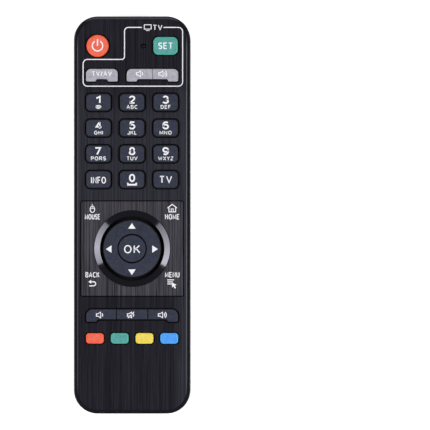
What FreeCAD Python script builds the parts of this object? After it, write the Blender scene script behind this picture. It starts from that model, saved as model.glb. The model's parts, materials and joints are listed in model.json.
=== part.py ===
"""Hand-held remote control for a television box, built as an assembly of separate pieces.

The remote lies on its back. X runs across the face, Y runs towards the infrared end and
Z runs out of the keys. The origin is under the middle of the body, on the surface that
the four rest nubs stand on. All sizes are in millimetres and all angles in degrees.
"""
import FreeCAD
import Part

import math
import os

V = FreeCAD.Vector
UP = V(0, 0, 1)
TINY = 1e-6
OVER = 1.0

# Body
body_width = 48.9
body_length = 166.9
body_thickness = 19.4
body_corner_radius = 9.9
side_round = 7.0
end_round = 2.5
face_round = 0.6
wall = 1.8
face_wall = 1.6
nub_height = 0.6
seam_from_face = 5.8
seam_chamfer = 0.25
tongue_depth = 1.2
tongue_thickness = 0.75
tongue_clearance = 0.1
face_line_inset = 1.35
face_line_width = 0.2
face_line_depth = 0.15

# Finger groove across the back
groove_radius = 33.0
groove_depth = 2.2
groove_from_door = 29.5

# Rest nubs
shell_nub_radius = 1.4
shell_nub_tip_radius = 0.7
shell_nub_spacing = 21.2
shell_nub_from_end = 4.45
door_nub_radius = 2.0
door_nub_tip_radius = 1.0
door_nub_spacing = 20.6
door_nub_from_hinge_end = 32.6

# Keys in general
key_margin = 5.1
key_gap = 0.45
key_travel = 0.9
key_stop_gap = 0.1
key_flange_overlap = 0.5
key_flange_thickness = 0.8
key_edge_round = 0.6
bar_edge_round = 0.35
pill_radius = 1.8
split_gap = 0.15

# Top row
top_row_from_end = 12.45
top_row_inset = 0.2
power_diameter = 9.3
power_proud = 1.4
settings_width = 10.2
settings_length = 7.5
settings_radius = 2.1
settings_proud = 1.3
lamp_from_right_key = 9.35
lamp_diameter = 1.9
lamp_clearance = 0.1
lamp_below_face = 0.4

# Television row
tv_row_drop = 12.3
tv_bar_length = 5.3
tv_bar_top_radius = 2.0
tv_bar_bottom_radius = 0.6
tv_bar_proud = 0.9
tv_av_width = 13.3
tv_av_notch_width = 5.3
tv_bars_apart = 3.8
tv_volume_notch_margin = 4.1
notch_depth = 1.0
notch_slant = 0.5
notch_radius = 0.5

# Number keys
number_row_drop = 11.4
number_key_gap = 3.6
number_key_length = 7.5
number_key_radius = 1.9
number_row_pitch = 10.8
number_key_proud = 1.3

# Corner plate with the ring key and the centre key
plate_row_drop = 9.15
plate_margin = 3.05
plate_border = 3.8
plate_radius = 0.6
plate_gap = 0.4
plate_proud = 0.05
plate_thickness = 1.4
plate_skirt_width = 1.0
plate_edge_round = 0.2
plate_flange_overlap = 0.25
plate_flange_thickness = 0.7
plate_tip_room = 0.9
plate_peg_radius = 1.2
plate_peg_inset = 3.8
bezel_width = 2.5
bezel_ring_clearance = 1.3
bezel_fit_gap = 0.06
bezel_rim = 0.15
bezel_proud = 0.2
bezel_slope = 23.5
bezel_height = 3.0
ring_diameter = 24.5
ring_height = 2.9
ring_proud = 0.5
ring_edge_round = 0.7
ring_inner_edge_round = 0.25
ring_gap = 0.3
ring_peg_radius = 1.0
ring_peg_height = 1.3
ring_peg_circle = 10.0
ok_diameter = 11.6
ok_proud = 0.6
ok_height = 3.4
ok_edge_round = 0.35
gimbal_thickness = 0.45
ring_gimbal_inner_diameter = 13.4
ring_gimbal_width = 2.0
ring_gimbal_gap = 0.65
plate_gimbal_width = 1.9
plate_gimbal_gap = 0.6

# Lower keys
volume_row_drop = 8.25
volume_bar_length = 5.5
volume_bar_top_radius = 2.8
volume_bar_bottom_radius = 0.8
volume_bar_proud = 0.9
volume_notch_margin = 4.4
volume_middle_width = 13.2
colour_row_drop = 9.6
colour_key_gap = 2.9
colour_key_length = 4.5
colour_key_radius = 1.4
colour_key_proud = 1.1

# Battery compartment
cell_diameter = 10.5
cell_length = 44.5
cell_nub_diameter = 3.8
cell_nub_height = 0.9
cell_edge_round = 0.5
cell_spacing = 0.6
cell_side_clearance = 0.4
cell_door_clearance = 0.25
cell_roof_clearance = 0.2
bay_wall = 1.2
bay_roof = 0.8
contact_thickness = 0.4
contact_width = 7.4
contact_above_ledge = 0.3
contact_tab_width = 2.0
contact_clearance = 0.1
spring_length = 4.8
spring_wire = 0.5
spring_radius = 2.6
spring_turns = 4

# Battery door
door_from_end = 9.65
door_thickness = 1.6
door_side_ledge = 2.0
door_end_ledge = 3.3
door_radius = 1.4
door_swing_radius = 0.4
door_gap = 0.2
ledge_thickness = 1.2
hook_width = 2.4
hook_from_middle = 10.0
hook_thickness = 0.8
hook_reach = 1.4
hook_neck = 1.2
hook_gap = 0.2
hook_sweep_room = 0.3
hook_side_room = 0.4

# Door latch and the finger recess over it
recess_radius = 5.6
recess_from_door = 4.5
recess_depth = 2.2
recess_floor = 1.2
slot_half_width = 5.2
slot_inner_half_width = 3.9
slot_step_from_door = 3.4
slot_end_from_door = 4.9
slot_back_room = 1.8
slot_wall = 1.0
slot_clearance = 0.7
latch_width = 6.2
latch_sheet = 0.8
latch_depth = 5.6
latch_hinge_from_door = 1.0
latch_hinge_gap = 0.2
latch_leg_from_door = 3.5
latch_pad_reach = 2.6
latch_pad_thickness = 1.0
latch_pad_sunk = 0.3
latch_nose = 0.9
latch_nose_from_surface = 3.6

# Circuit board, mat and what holds them
board_thickness = 1.0
board_above_bay = 0.15
board_gap = 0.5
mat_thickness = 0.7
mat_hole_clearance = 0.5
pad_radius = 2.0
pad_thickness = 0.05
screw_radius = 0.95
screw_head_radius = 1.9
screw_head_height = 0.5
screw_length = 4.5
screw_hole_room = 0.5
screw_from_wall = 3.9
screw_hole_clearance = 0.05
screw_board_clearance = 0.35
post_radius = 2.2
post_sink = 0.2

# Infrared parts behind the end window
window_width = 22.0
window_height = 5.0
window_below_tongue = 0.1
window_gap = 0.1
window_flange = 0.8
emitter_radius = 2.5
emitter_flange = 0.4
emitter_flange_length = 1.0
emitter_length = 8.0
emitter_from_window = 0.4
receiver_radius = 1.5
receiver_length = 5.0
receiver_offset = 7.5
lead_size = 0.5
lead_run = 1.5

# Small parts under the board
can_edge_round = 0.4
chip_from_end = 39.3
chip_length = 17.9
chip_width = 7.5
chip_height = 2.3
chip_standoff = 0.2
chip_pin_pitch = 1.27
chip_pins_per_side = 14
chip_pin_width = 0.4
chip_pin_reach = 1.3
chip_pin_thickness = 0.3
resonator_length = 8.0
resonator_width = 3.5
resonator_height = 3.5
resonator_end_radius = 1.6
resonator_from_edge = 7.4
capacitor_radius = 2.5
capacitor_height = 7.0
capacitor_from_edge = 6.9
capacitor_drop = 2.0
transistor_width = 2.9
transistor_length = 1.3
transistor_height = 1.1
transistor_leg_pitch = 0.95
transistor_leg_width = 0.4
transistor_offset = 9.0
transistor_from_end = 17.3
resistor_length = 1.6
resistor_width = 0.8
resistor_height = 0.5
resistor_pitch = 3.0
resistor_count = 6
resistor_drop = 9.0

# Levels, from the surface that the nubs stand on
back_z = nub_height
face_z = back_z + body_thickness
seam_z = face_z - seam_from_face
face_under_z = face_z - face_wall
door_inner_z = back_z + door_thickness
cell_axis_z = door_inner_z + cell_door_clearance + cell_diameter / 2
bay_roof_z = cell_axis_z + cell_diameter / 2 + cell_roof_clearance
bay_top_z = bay_roof_z + bay_roof
board_under_z = bay_top_z + board_above_bay
board_top_z = board_under_z + board_thickness
mat_top_z = board_top_z + mat_thickness
flange_top_z = face_under_z - key_stop_gap
flange_under_z = flange_top_z - key_flange_thickness
pill_under_z = board_top_z + key_travel + key_stop_gap
plate_top_z = face_z + plate_proud
plate_under_z = plate_top_z - plate_thickness
plate_flange_top_z = face_under_z - plate_tip_room
plate_flange_under_z = plate_flange_top_z - plate_flange_thickness
ring_top_z = face_z + ring_proud
ring_under_z = ring_top_z - ring_height
ok_top_z = face_z + ok_proud
bezel_top_z = face_z + bezel_proud
ring_gimbal_top_z = ring_under_z - ring_gimbal_gap
plate_gimbal_top_z = plate_under_z - plate_gimbal_gap - gimbal_thickness
window_axis_z = seam_z - tongue_depth - window_below_tongue - window_height / 2

# Plan of the body
half_width = body_width / 2
half_length = body_length / 2
inner_side_round = side_round - wall
inner_end_round = end_round - wall
inner_half_width = half_width - wall
inner_half_length = half_length - wall
board_half_width = inner_half_width - board_gap

# Plan of the face, read down from the infrared end
key_block_width = body_width - 2 * key_margin
number_key_width = (key_block_width - 2 * number_key_gap) / 3
colour_key_width = (key_block_width - 3 * colour_key_gap) / 4
top_row_y = half_length - top_row_from_end
tv_row_y = top_row_y - tv_row_drop
number_row_y = tv_row_y - number_row_drop
bezel_inner_radius = ring_diameter / 2 + bezel_ring_clearance
bezel_outer_radius = bezel_inner_radius + bezel_width
plate_length = 2 * (bezel_outer_radius + plate_border)
plate_top_y = number_row_y - 3 * number_row_pitch - plate_row_drop
plate_y = plate_top_y - plate_length / 2
plate_width = body_width - 2 * plate_margin
volume_row_y = plate_top_y - plate_length - volume_row_drop
colour_row_y = volume_row_y - colour_row_drop

# Plan of the back, read up from the other end
bay_width = 2 * cell_diameter + cell_spacing + 2 * cell_side_clearance
bay_length = cell_length + spring_length + 2 * contact_thickness + contact_clearance
door_width = bay_width + 2 * door_side_ledge
door_length = bay_length + 2 * door_end_ledge
door_low_y = -half_length + door_from_end
door_high_y = door_low_y + door_length
door_y = (door_low_y + door_high_y) / 2
bay_low_y = door_low_y + door_end_ledge
bay_high_y = bay_low_y + bay_length
bay_y = (bay_low_y + bay_high_y) / 2
cell_x = (cell_diameter + cell_spacing) / 2
hinge_y = door_low_y + door_thickness / 2
hinge_z = back_z + door_thickness / 2
groove_y = door_high_y + groove_from_door
recess_y = door_high_y + recess_from_door
latch_hinge_y = door_high_y + latch_hinge_from_door
latch_leg_y = door_high_y + latch_leg_from_door
latch_hinge_z = back_z + latch_depth - latch_sheet / 2

# Screws that hold the board stand beside the television row and beside the volume bar
screw_x = inner_half_width - screw_from_wall
screw_high_y = (tv_row_y + number_row_y) / 2
screw_low_y = (plate_top_y - plate_length + volume_row_y) / 2
screw_places = [(x, y) for y in (screw_high_y, screw_low_y) for x in (-screw_x, screw_x)]
power_x = -(key_block_width - power_diameter) / 2 + top_row_inset
settings_x = (key_block_width - settings_width) / 2 - top_row_inset
lamp_x = settings_x - lamp_from_right_key


def export(name, shape):
    """Write one piece as its own STEP file."""
    shape.exportStep("parts/" + name + ".step")


def box(x0, x1, y0, y1, z0, z1):
    """Block between two corners."""
    return Part.makeBox(x1 - x0, y1 - y0, z1 - z0, V(x0, y0, z0))


def rod(x, y, radius, z0, z1):
    """Upright cylinder between two heights."""
    return Part.makeCylinder(radius, z1 - z0, V(x, y, z0), UP)


def raised(face, height):
    """Solid that a flat outline sweeps when it is raised by a height."""
    return face.extrude(V(0, 0, height))


def rounded_polygon(corners, z):
    """Flat face of a polygon with a tangent arc at each corner (x, y, radius)."""
    count = len(corners)
    bends = []
    for i in range(count):
        x, y, radius = corners[i]
        here = V(x, y, z)
        into = (V(corners[i - 1][0], corners[i - 1][1], z) - here).normalize()
        out = (V(corners[(i + 1) % count][0], corners[(i + 1) % count][1], z) - here).normalize()
        half_angle = into.getAngle(out) / 2
        reach = radius / math.tan(half_angle)
        bisector = (into + out).normalize()
        middle = here + bisector * (radius / math.sin(half_angle) - radius)
        bends.append((here + into * reach, middle, here + out * reach))
    edges = []
    for i in range(count):
        start, middle, end = bends[i]
        edges.append(Part.Arc(start, middle, end).toShape())
        following = bends[(i + 1) % count][0]
        if (following - end).Length > TINY:
            edges.append(Part.makeLine(end, following))
    return Part.Face(Part.Wire(edges))


def rounded_rectangle(width, length, radius, x, y, z):
    """Flat face of a rectangle with four round corners."""
    east, north = x + width / 2, y + length / 2
    west, south = x - width / 2, y - length / 2
    corners = [(east, south), (east, north), (west, north), (west, south)]
    return rounded_polygon([(cx, cy, radius) for cx, cy in corners], z)


def disc(radius, x, y, z):
    """Flat round face."""
    return Part.Face(Part.Wire([Part.makeCircle(radius, V(x, y, z), UP)]))


def slab(width, length, radius, z0, z1, x=0, y=0):
    """Block with round upright corners."""
    return raised(rounded_rectangle(width, length, radius, x, y, z0), z1 - z0)


def level_edges(shape, z):
    """Edges that lie in the plane at one height."""
    flat = []
    for edge in shape.Edges:
        bounds = edge.BoundBox
        if abs(bounds.ZMin - z) < TINY and abs(bounds.ZMax - z) < TINY:
            flat.append(edge)
    return flat


def round_level(shape, z, radius):
    """Round every edge at one height."""
    return shape.makeFillet(radius, level_edges(shape, z))


def plan(grow, z0, z1):
    """Block of the body's plan, grown outwards by a distance, or drawn in where it is negative."""
    width = body_width + 2 * grow
    return slab(width, body_length + 2 * grow, body_corner_radius + grow, z0, z1)


def round_under(shape, z, side_radius, end_radius, side_x):
    """Round the lower edge: one radius along the sides, another along the ends, blended at the corners."""
    document = FreeCAD.newDocument("rounding")
    base = document.addObject("Part::Feature", "base")
    base.Shape = shape
    fillet = document.addObject("Part::Fillet", "fillet")
    fillet.Base = base
    laws = []
    for number, edge in enumerate(shape.Edges, 1):
        bounds = edge.BoundBox
        if abs(bounds.ZMin - z) > TINY or abs(bounds.ZMax - z) > TINY:
            continue
        ends = [edge.valueAt(edge.FirstParameter), edge.valueAt(edge.LastParameter)]
        radii = [side_radius if abs(abs(end.x) - side_x) < TINY else end_radius for end in ends]
        laws.append((number, radii[0], radii[1]))
    fillet.Edges = laws
    document.recompute()
    rounded = fillet.Shape.Solids[0].copy()
    FreeCAD.closeDocument(document.Name)
    return rounded


def groove_tool(extra):
    """Cylinder across the back that hollows the finger groove, thicker by extra for the wall."""
    centre = V(-body_width, groove_y, back_z + groove_depth - groove_radius)
    return Part.makeCylinder(groove_radius + extra, 2 * body_width, centre, V(1, 0, 0))


def nub(x, y, radius, tip_radius):
    """Small domed foot, part of a ball, whose flat tip stands on the resting surface."""
    root_z = nub_height + wall / 2
    centre_z = (radius ** 2 - tip_radius ** 2 + nub_height ** 2) / (2 * nub_height)
    middle_z = nub_height / 2
    ball_radius = math.hypot(tip_radius, centre_z)
    middle = V(math.sqrt(ball_radius ** 2 - (centre_z - middle_z) ** 2), 0, middle_z)
    profile = [
        Part.makeLine(V(0, 0, 0), V(tip_radius, 0, 0)),
        Part.Arc(V(tip_radius, 0, 0), middle, V(radius, 0, nub_height)).toShape(),
        Part.makeLine(V(radius, 0, nub_height), V(radius, 0, root_z)),
        Part.makeLine(V(radius, 0, root_z), V(0, 0, root_z)),
        Part.makeLine(V(0, 0, root_z), V(0, 0, 0)),
    ]
    dome = Part.Face(Part.Wire(profile)).revolve(V(0, 0, 0), UP, 360)
    dome.translate(V(x, y, 0))
    return dome


def key_solid(outline, under, top_z, edge_round, pill_places):
    """One key: a cap with a rounded rim, a flange that stops under the face, and contact pills."""
    cap = raised(outline, top_z - flange_under_z)
    cap = round_level(cap, top_z, edge_round)
    pieces = [raised(under, key_flange_thickness)]
    for x, y in pill_places:
        pieces.append(rod(x, y, pill_radius, pill_under_z, flange_under_z + key_flange_thickness / 2))
    return cap.fuse(pieces).removeSplitter()


def plain_key(outline, top_z, centre):
    """Key whose flange follows its outline all round."""
    under = outline.makeOffset2D(key_gap + key_flange_overlap)
    return key_solid(outline, under, top_z, key_edge_round, [centre])


def notched_bar(left, right, y, length, top_radius, bottom_radius, notch_left, notch_right):
    """Outline of a bar key with a slanted notch in its lower edge, at the flange's height."""
    low = y - length / 2
    high = y + length / 2
    corners = [
        (left, low, bottom_radius),
        (notch_left, low, notch_radius),
        (notch_left + notch_slant, low + notch_depth, notch_radius),
        (notch_right - notch_slant, low + notch_depth, notch_radius),
        (notch_right, low, notch_radius),
        (right, low, bottom_radius),
        (right, high, top_radius),
        (left, high, top_radius),
    ]
    return rounded_polygon(corners, flange_under_z)


def bar_keys(outline, left, right, y, length, top_z, splits):
    """Keys that share one bar, cut apart at the split lines, each with a pill under its middle."""
    reach = key_gap + key_flange_overlap
    under = rounded_rectangle(
        right - left + 2 * reach, length + 2 * reach, reach, (left + right) / 2, y, flange_under_z)
    borders = [left - reach - OVER] + splits + [right + reach + OVER]
    keys = []
    for i in range(len(borders) - 1):
        west = borders[i] + split_gap / 2
        east = borders[i + 1] - split_gap / 2
        strip = box(west, east, y - length, y + length, flange_under_z - OVER, flange_under_z + OVER)
        pill_x = (max(west, left) + min(east, right)) / 2
        part_outline = outline.common(strip).Faces[0]
        part_under = under.common(strip).Faces[0]
        keys.append(key_solid(part_outline, part_under, top_z, bar_edge_round, [(pill_x, y)]))
    return keys


def key_outlines():
    """Outline of every single key, by name, with its top height and its centre."""
    rows = {}
    rows["key_power"] = (
        disc(power_diameter / 2, power_x, top_row_y, flange_under_z), power_proud, (power_x, top_row_y))
    rows["key_settings"] = (
        rounded_rectangle(settings_width, settings_length, settings_radius,
                          settings_x, top_row_y, flange_under_z),
        settings_proud, (settings_x, top_row_y))
    names = ["key_1", "key_2", "key_3", "key_4", "key_5", "key_6",
             "key_7", "key_8", "key_9", "key_info", "key_0", "key_tv"]
    column_pitch = (key_block_width - number_key_width) / 2
    for number, name in enumerate(names):
        row, column = divmod(number, 3)
        x = (column - 1) * column_pitch
        y = number_row_y - row * number_row_pitch
        rows[name] = (
            rounded_rectangle(number_key_width, number_key_length, number_key_radius,
                              x, y, flange_under_z),
            number_key_proud, (x, y))
    colour_pitch = (key_block_width - colour_key_width) / 3
    for number, name in enumerate(["key_red", "key_green", "key_yellow", "key_blue"]):
        x = (number - 1.5) * colour_pitch
        rows[name] = (
            rounded_rectangle(colour_key_width, colour_key_length, colour_key_radius,
                              x, colour_row_y, flange_under_z),
            colour_key_proud, (x, colour_row_y))
    return rows


def bar_plans():
    """The three bars: outline, ends, height on the face, length, top and split lines, by node names."""
    left = -key_block_width / 2
    right = key_block_width / 2
    av_right = left + tv_av_width
    av_middle = (left + av_right) / 2
    volume_left = av_right + tv_bars_apart
    volume_middle = (volume_left + right) / 2
    plans = []
    av_outline = notched_bar(
        left, av_right, tv_row_y, tv_bar_length, tv_bar_top_radius, tv_bar_bottom_radius,
        av_middle - tv_av_notch_width / 2, av_middle + tv_av_notch_width / 2)
    plans.append((["key_tv_av"], av_outline, left, av_right, tv_row_y,
                  tv_bar_length, face_z + tv_bar_proud, []))
    tv_volume_outline = notched_bar(
        volume_left, right, tv_row_y, tv_bar_length, tv_bar_top_radius, tv_bar_bottom_radius,
        volume_left + tv_volume_notch_margin, right - tv_volume_notch_margin)
    plans.append((["key_tv_volume_down", "key_tv_volume_up"], tv_volume_outline, volume_left, right,
                  tv_row_y, tv_bar_length, face_z + tv_bar_proud, [volume_middle]))
    volume_outline = notched_bar(
        left, right, volume_row_y, volume_bar_length, volume_bar_top_radius, volume_bar_bottom_radius,
        left + volume_notch_margin, right - volume_notch_margin)
    half_middle = volume_middle_width / 2
    plans.append((["key_volume_down", "key_mute", "key_volume_up"], volume_outline, left, right,
                  volume_row_y, volume_bar_length, face_z + volume_bar_proud,
                  [-half_middle, half_middle]))
    return plans


def plate_outline(grow, z):
    """Outline of the corner plate, grown outwards by a distance."""
    return rounded_rectangle(
        plate_width + 2 * grow, plate_length + 2 * grow, plate_radius + grow, 0, plate_y, z)


def front_shell(singles, bars):
    """Face half of the case, with an aperture for each key and a tongue along its seam."""
    shell = plan(0, seam_z, face_z)
    shell = round_level(shell, face_z, face_round)
    shell = shell.makeChamfer(seam_chamfer, level_edges(shell, seam_z))
    shell = shell.cut(plan(-wall, seam_z - OVER, face_under_z))
    tongue_outer = plan(-wall + tongue_thickness, seam_z - tongue_depth, seam_z + OVER)
    tongue_inner = plan(-wall, seam_z - tongue_depth - OVER, seam_z + 2 * OVER)
    shell = shell.fuse(tongue_outer.cut(tongue_inner))
    line_outer = plan(-face_line_inset, face_z - face_line_depth, face_z + OVER)
    line_inner = plan(-face_line_inset - face_line_width, face_z - face_line_depth - OVER,
                      face_z + 2 * OVER)
    cuts = [line_outer.cut(line_inner)]
    drop = V(0, 0, face_under_z - OVER - flange_under_z)
    height = face_wall + 2 * OVER
    outlines = [outline for outline, proud, centre in singles.values()]
    outlines += [bar[1] for bar in bars]
    for outline in outlines:
        aperture = raised(outline.makeOffset2D(key_gap), height)
        aperture.translate(drop)
        cuts.append(aperture)
    cuts.append(raised(plate_outline(plate_gap, face_under_z - OVER), height))
    cuts.append(rod(lamp_x, top_row_y, lamp_diameter / 2 + lamp_clearance,
                    face_under_z - OVER, face_z + OVER))
    return shell.cut(cuts).removeSplitter()


def door_plan(grow, hinge_end_radius, z0, z1):
    """Block of the battery door's outline, grown outwards, with its own corner radius at the hinges."""
    east = door_width / 2 + grow
    north = door_high_y + grow
    south = door_low_y - grow
    far_radius = door_radius + grow
    corners = [
        (east, south, hinge_end_radius), (east, north, far_radius),
        (-east, north, far_radius), (-east, south, hinge_end_radius),
    ]
    return raised(rounded_polygon(corners, z0), z1 - z0)


def hook_notches():
    """Room behind the door's lower end in which its two hooks turn."""
    hook_top = back_z + wall + hook_gap + hook_thickness
    sweep = math.hypot(door_thickness / 2 + hook_reach, hook_top - hinge_z) + hook_sweep_room
    half = hook_width / 2 + hook_side_room
    top_z = hinge_z + sweep
    front = bay_low_y + hook_side_room
    notches = []
    for x in (-hook_from_middle, hook_from_middle):
        notches.append(box(x - half, x + half, hinge_y - sweep, front, back_z + wall, top_z))
        notches.append(box(x - half, x + half, door_low_y, front, door_inner_z, top_z))
    return notches


def finger_recess():
    """Half-round dish over the latch, level with the back, open towards the door."""
    floor_z = back_z + recess_depth
    dish = rod(0, recess_y, recess_radius, back_z - OVER, floor_z)
    lower = box(-recess_radius, recess_radius, door_high_y - OVER, recess_y, back_z - OVER, floor_z)
    above_door = box(-body_width, body_width, door_high_y, half_length,
                     back_z - 2 * OVER, floor_z + OVER)
    return dish.fuse(lower).common(above_door)


def latch_slots():
    """Deep slots in which the latch stands and bends."""
    top_z = back_z + latch_depth + slot_clearance
    wide = box(-slot_half_width, slot_half_width, door_high_y - slot_back_room,
               door_high_y + slot_step_from_door, back_z - OVER, top_z)
    narrow = box(-slot_inner_half_width, slot_inner_half_width, door_high_y,
                 door_high_y + slot_end_from_door, back_z - OVER, top_z)
    return wide.fuse(narrow)


def latch_housing():
    """Walls round the latch slots and a floor behind the finger recess, inside the back shell."""
    top_z = back_z + latch_depth + slot_clearance + slot_wall
    half = slot_half_width + slot_wall
    walls = box(-half, half, door_high_y - slot_back_room - slot_wall,
                door_high_y + slot_end_from_door + slot_wall, back_z + wall / 2, top_z)
    behind = rod(0, recess_y, recess_radius + recess_floor,
                 back_z + wall / 2, back_z + recess_depth + recess_floor)
    return walls.fuse(behind)


def back_shell():
    """Back half of the case, with the battery bay, board posts, finger groove and latch recess."""
    rebate_z = seam_z - tongue_depth - tongue_clearance
    outer = plan(0, back_z, seam_z)
    outer = outer.makeChamfer(seam_chamfer, level_edges(outer, seam_z))
    outer = round_under(outer, back_z, side_round, end_round, half_width)
    outer = outer.cut(groove_tool(0))
    hollow = plan(-wall, back_z + wall, seam_z + OVER)
    hollow = round_under(hollow, back_z + wall, inner_side_round, inner_end_round, inner_half_width)
    hollow = hollow.cut(groove_tool(wall))
    rebate = plan(-wall + tongue_thickness + tongue_clearance, rebate_z, seam_z + OVER)
    shell = outer.cut(hollow).cut(rebate)
    inside = [
        box(-bay_width / 2 - bay_wall, bay_width / 2 + bay_wall, bay_low_y - bay_wall,
            bay_high_y + bay_wall, back_z + wall / 2, bay_top_z),
        door_plan(door_gap + bay_wall, door_radius, back_z + wall / 2,
                  door_inner_z + door_gap + ledge_thickness),
        latch_housing(),
    ]
    for x, y in screw_places:
        inside.append(rod(x, y, post_radius, back_z + wall - post_sink, board_under_z))
    nub_y = half_length - shell_nub_from_end
    for x in (-shell_nub_spacing / 2, shell_nub_spacing / 2):
        inside.append(nub(x, nub_y, shell_nub_radius, shell_nub_tip_radius))
    shell = shell.fuse(inside)
    cuts = [
        box(-bay_width / 2, bay_width / 2, bay_low_y, bay_high_y, back_z - OVER, bay_roof_z),
        door_plan(door_gap, door_swing_radius, back_z - OVER, door_inner_z + door_gap),
        finger_recess(),
        latch_slots(),
        window_opening(),
    ]
    cuts += hook_notches()
    cuts += [contact_slot(side) for side in (-1, 1)]
    for x, y in screw_places:
        cuts.append(rod(x, y, screw_radius + screw_hole_clearance,
                        board_under_z - screw_length - screw_hole_room, board_under_z + OVER))
    return shell.cut(cuts).removeSplitter()


def side_profile(points, half, x=0):
    """Solid of an outline given as (y, z) points, as wide as twice half, about a place along X."""
    corners = [V(x - half, y, z) for y, z in points]
    face = Part.Face(Part.makePolygon(corners + corners[:1]))
    return face.extrude(V(2 * half, 0, 0))


def battery_door():
    """Door with two hooks at its lower end, the fixed leg of the latch, and two rest nubs."""
    plate = door_plan(0, door_radius, back_z, door_inner_z)
    hinge_end = box(-door_width, door_width, door_low_y - OVER, hinge_y,
                    back_z - OVER, door_inner_z + OVER)
    barrel = Part.makeCylinder(
        door_thickness / 2, door_width, V(-door_width / 2, hinge_y, hinge_z), V(1, 0, 0))
    plate = plate.cut(hinge_end).fuse(barrel.common(plate))
    hook_under = back_z + wall + hook_gap
    hook_top = hook_under + hook_thickness
    neck_front = door_low_y + hook_neck
    pieces = []
    for x in (-hook_from_middle, hook_from_middle):
        profile = [
            (door_low_y, hinge_z), (neck_front, hinge_z), (neck_front, hook_top),
            (door_low_y - hook_reach, hook_top), (door_low_y - hook_reach, hook_under),
            (door_low_y, hook_under),
        ]
        pieces.append(side_profile(profile, hook_width / 2, x))
    leg_top = back_z + latch_depth
    leg_end = latch_hinge_y - latch_hinge_gap / 2
    leg = [
        (door_high_y - latch_sheet, hinge_z), (door_high_y, hinge_z),
        (door_high_y, leg_top - latch_sheet), (leg_end, leg_top - latch_sheet),
        (leg_end, leg_top), (door_high_y - latch_sheet, leg_top),
    ]
    pieces.append(side_profile(leg, latch_width / 2))
    nub_y = door_low_y + door_nub_from_hinge_end
    for x in (-door_nub_spacing / 2, door_nub_spacing / 2):
        pieces.append(nub(x, nub_y, door_nub_radius, door_nub_tip_radius))
    return plate.fuse(pieces).removeSplitter()


def battery_door_latch():
    """Springy leg of the latch with its thumb pad and catch nose."""
    top = back_z + latch_depth
    start = latch_hinge_y + latch_hinge_gap / 2
    leg_front = latch_leg_y - latch_sheet
    pad_outer = back_z + latch_pad_sunk
    pad_inner = pad_outer + latch_pad_thickness
    nose_z = back_z + latch_nose_from_surface
    profile = [
        (start, top - latch_sheet), (leg_front, top - latch_sheet), (leg_front, pad_outer),
        (latch_leg_y + latch_pad_reach, pad_outer), (latch_leg_y + latch_pad_reach, pad_inner),
        (latch_leg_y, pad_inner), (latch_leg_y, nose_z), (latch_leg_y + latch_nose, nose_z),
        (latch_leg_y, nose_z + latch_nose), (latch_leg_y, top), (start, top),
    ]
    return side_profile(profile, latch_width / 2)


def board_plan(z0, z1):
    """Block of the circuit board's outline."""
    return plan(-wall - board_gap, z0, z1)


def contact_places(singles, bars):
    """Middle of every contact on the board: one under each key, four under the ring and the plate."""
    places = [centre for outline, proud, centre in singles.values()]
    for names, outline, left, right, y, length, top_z, splits in bars:
        borders = [left] + splits + [right]
        for i in range(len(names)):
            places.append(((borders[i] + borders[i + 1]) / 2, y))
    places.append((0, plate_y))
    for angle in range(0, 360, 90):
        x = ring_peg_circle * math.cos(math.radians(angle))
        y = plate_y + ring_peg_circle * math.sin(math.radians(angle))
        places.append((x, y))
    return places + plate_pegs()


def plate_pegs():
    """Places of the four pegs under the plate's corners."""
    x = plate_width / 2 - plate_peg_inset
    y = plate_length / 2 - plate_peg_inset
    return [(sx * x, plate_y + sy * y) for sx in (-1, 1) for sy in (-1, 1)]


def circuit_board():
    """Circuit board with its screw holes."""
    holes = [rod(x, y, screw_radius + screw_board_clearance, board_under_z - OVER, board_top_z + OVER)
             for x, y in screw_places]
    return board_plan(board_under_z, board_top_z).cut(holes)


def keypad_mat(places):
    """Soft sheet on the board, open over every contact, screw head and the lamp."""
    sheet = board_plan(board_top_z, mat_top_z)
    openings = [(x, y, pad_radius) for x, y in places]
    openings += [(x, y, screw_head_radius) for x, y in screw_places]
    openings.append((lamp_x, top_row_y, lamp_diameter / 2))
    holes = [rod(x, y, radius + mat_hole_clearance, board_top_z - OVER, mat_top_z + OVER)
             for x, y, radius in openings]
    return sheet.cut(holes)


def contact_pads(places):
    """Printed carbon pads that the pills close."""
    pads = [rod(x, y, pad_radius, board_top_z, board_top_z + pad_thickness) for x, y in places]
    return Part.makeCompound(pads)


def board_screws():
    """Four screws that hold the board on its posts."""
    screws = []
    for x, y in screw_places:
        head = rod(x, y, screw_head_radius, board_top_z, board_top_z + screw_head_height)
        head = round_level(head, board_top_z + screw_head_height, screw_head_height / 2)
        slot = box(x - screw_head_radius, x + screw_head_radius, y - screw_head_height / 2,
                   y + screw_head_height / 2, board_top_z + screw_head_height / 2, mat_top_z + OVER)
        shank = rod(x, y, screw_radius, board_under_z - screw_length, board_top_z)
        screws.append(head.cut(slot).fuse(shank).removeSplitter())
    return Part.makeCompound(screws)


def corner_plate():
    """Square plate whose four corners are keys, with its skirt, flange and pegs."""
    hole_radius = bezel_outer_radius + bezel_fit_gap
    top = raised(plate_outline(0, plate_under_z), plate_thickness)
    top = round_level(top, plate_top_z, plate_edge_round)
    skirt = raised(plate_outline(0, plate_flange_under_z), plate_under_z - plate_flange_under_z)
    flange = raised(
        plate_outline(plate_gap + plate_flange_overlap, plate_flange_under_z), plate_flange_thickness)
    hollow = slab(plate_width - 2 * plate_skirt_width, plate_length - 2 * plate_skirt_width, plate_radius,
                  plate_flange_under_z - OVER, plate_under_z, 0, plate_y)
    body = top.fuse([skirt, flange]).cut(hollow)
    pegs = [rod(x, y, plate_peg_radius, plate_flange_under_z, plate_under_z + plate_thickness / 2)
            for x, y in plate_pegs()]
    hole = rod(0, plate_y, hole_radius, plate_flange_under_z - OVER, plate_top_z + OVER)
    return body.fuse(pegs).cut(hole).removeSplitter()


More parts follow.
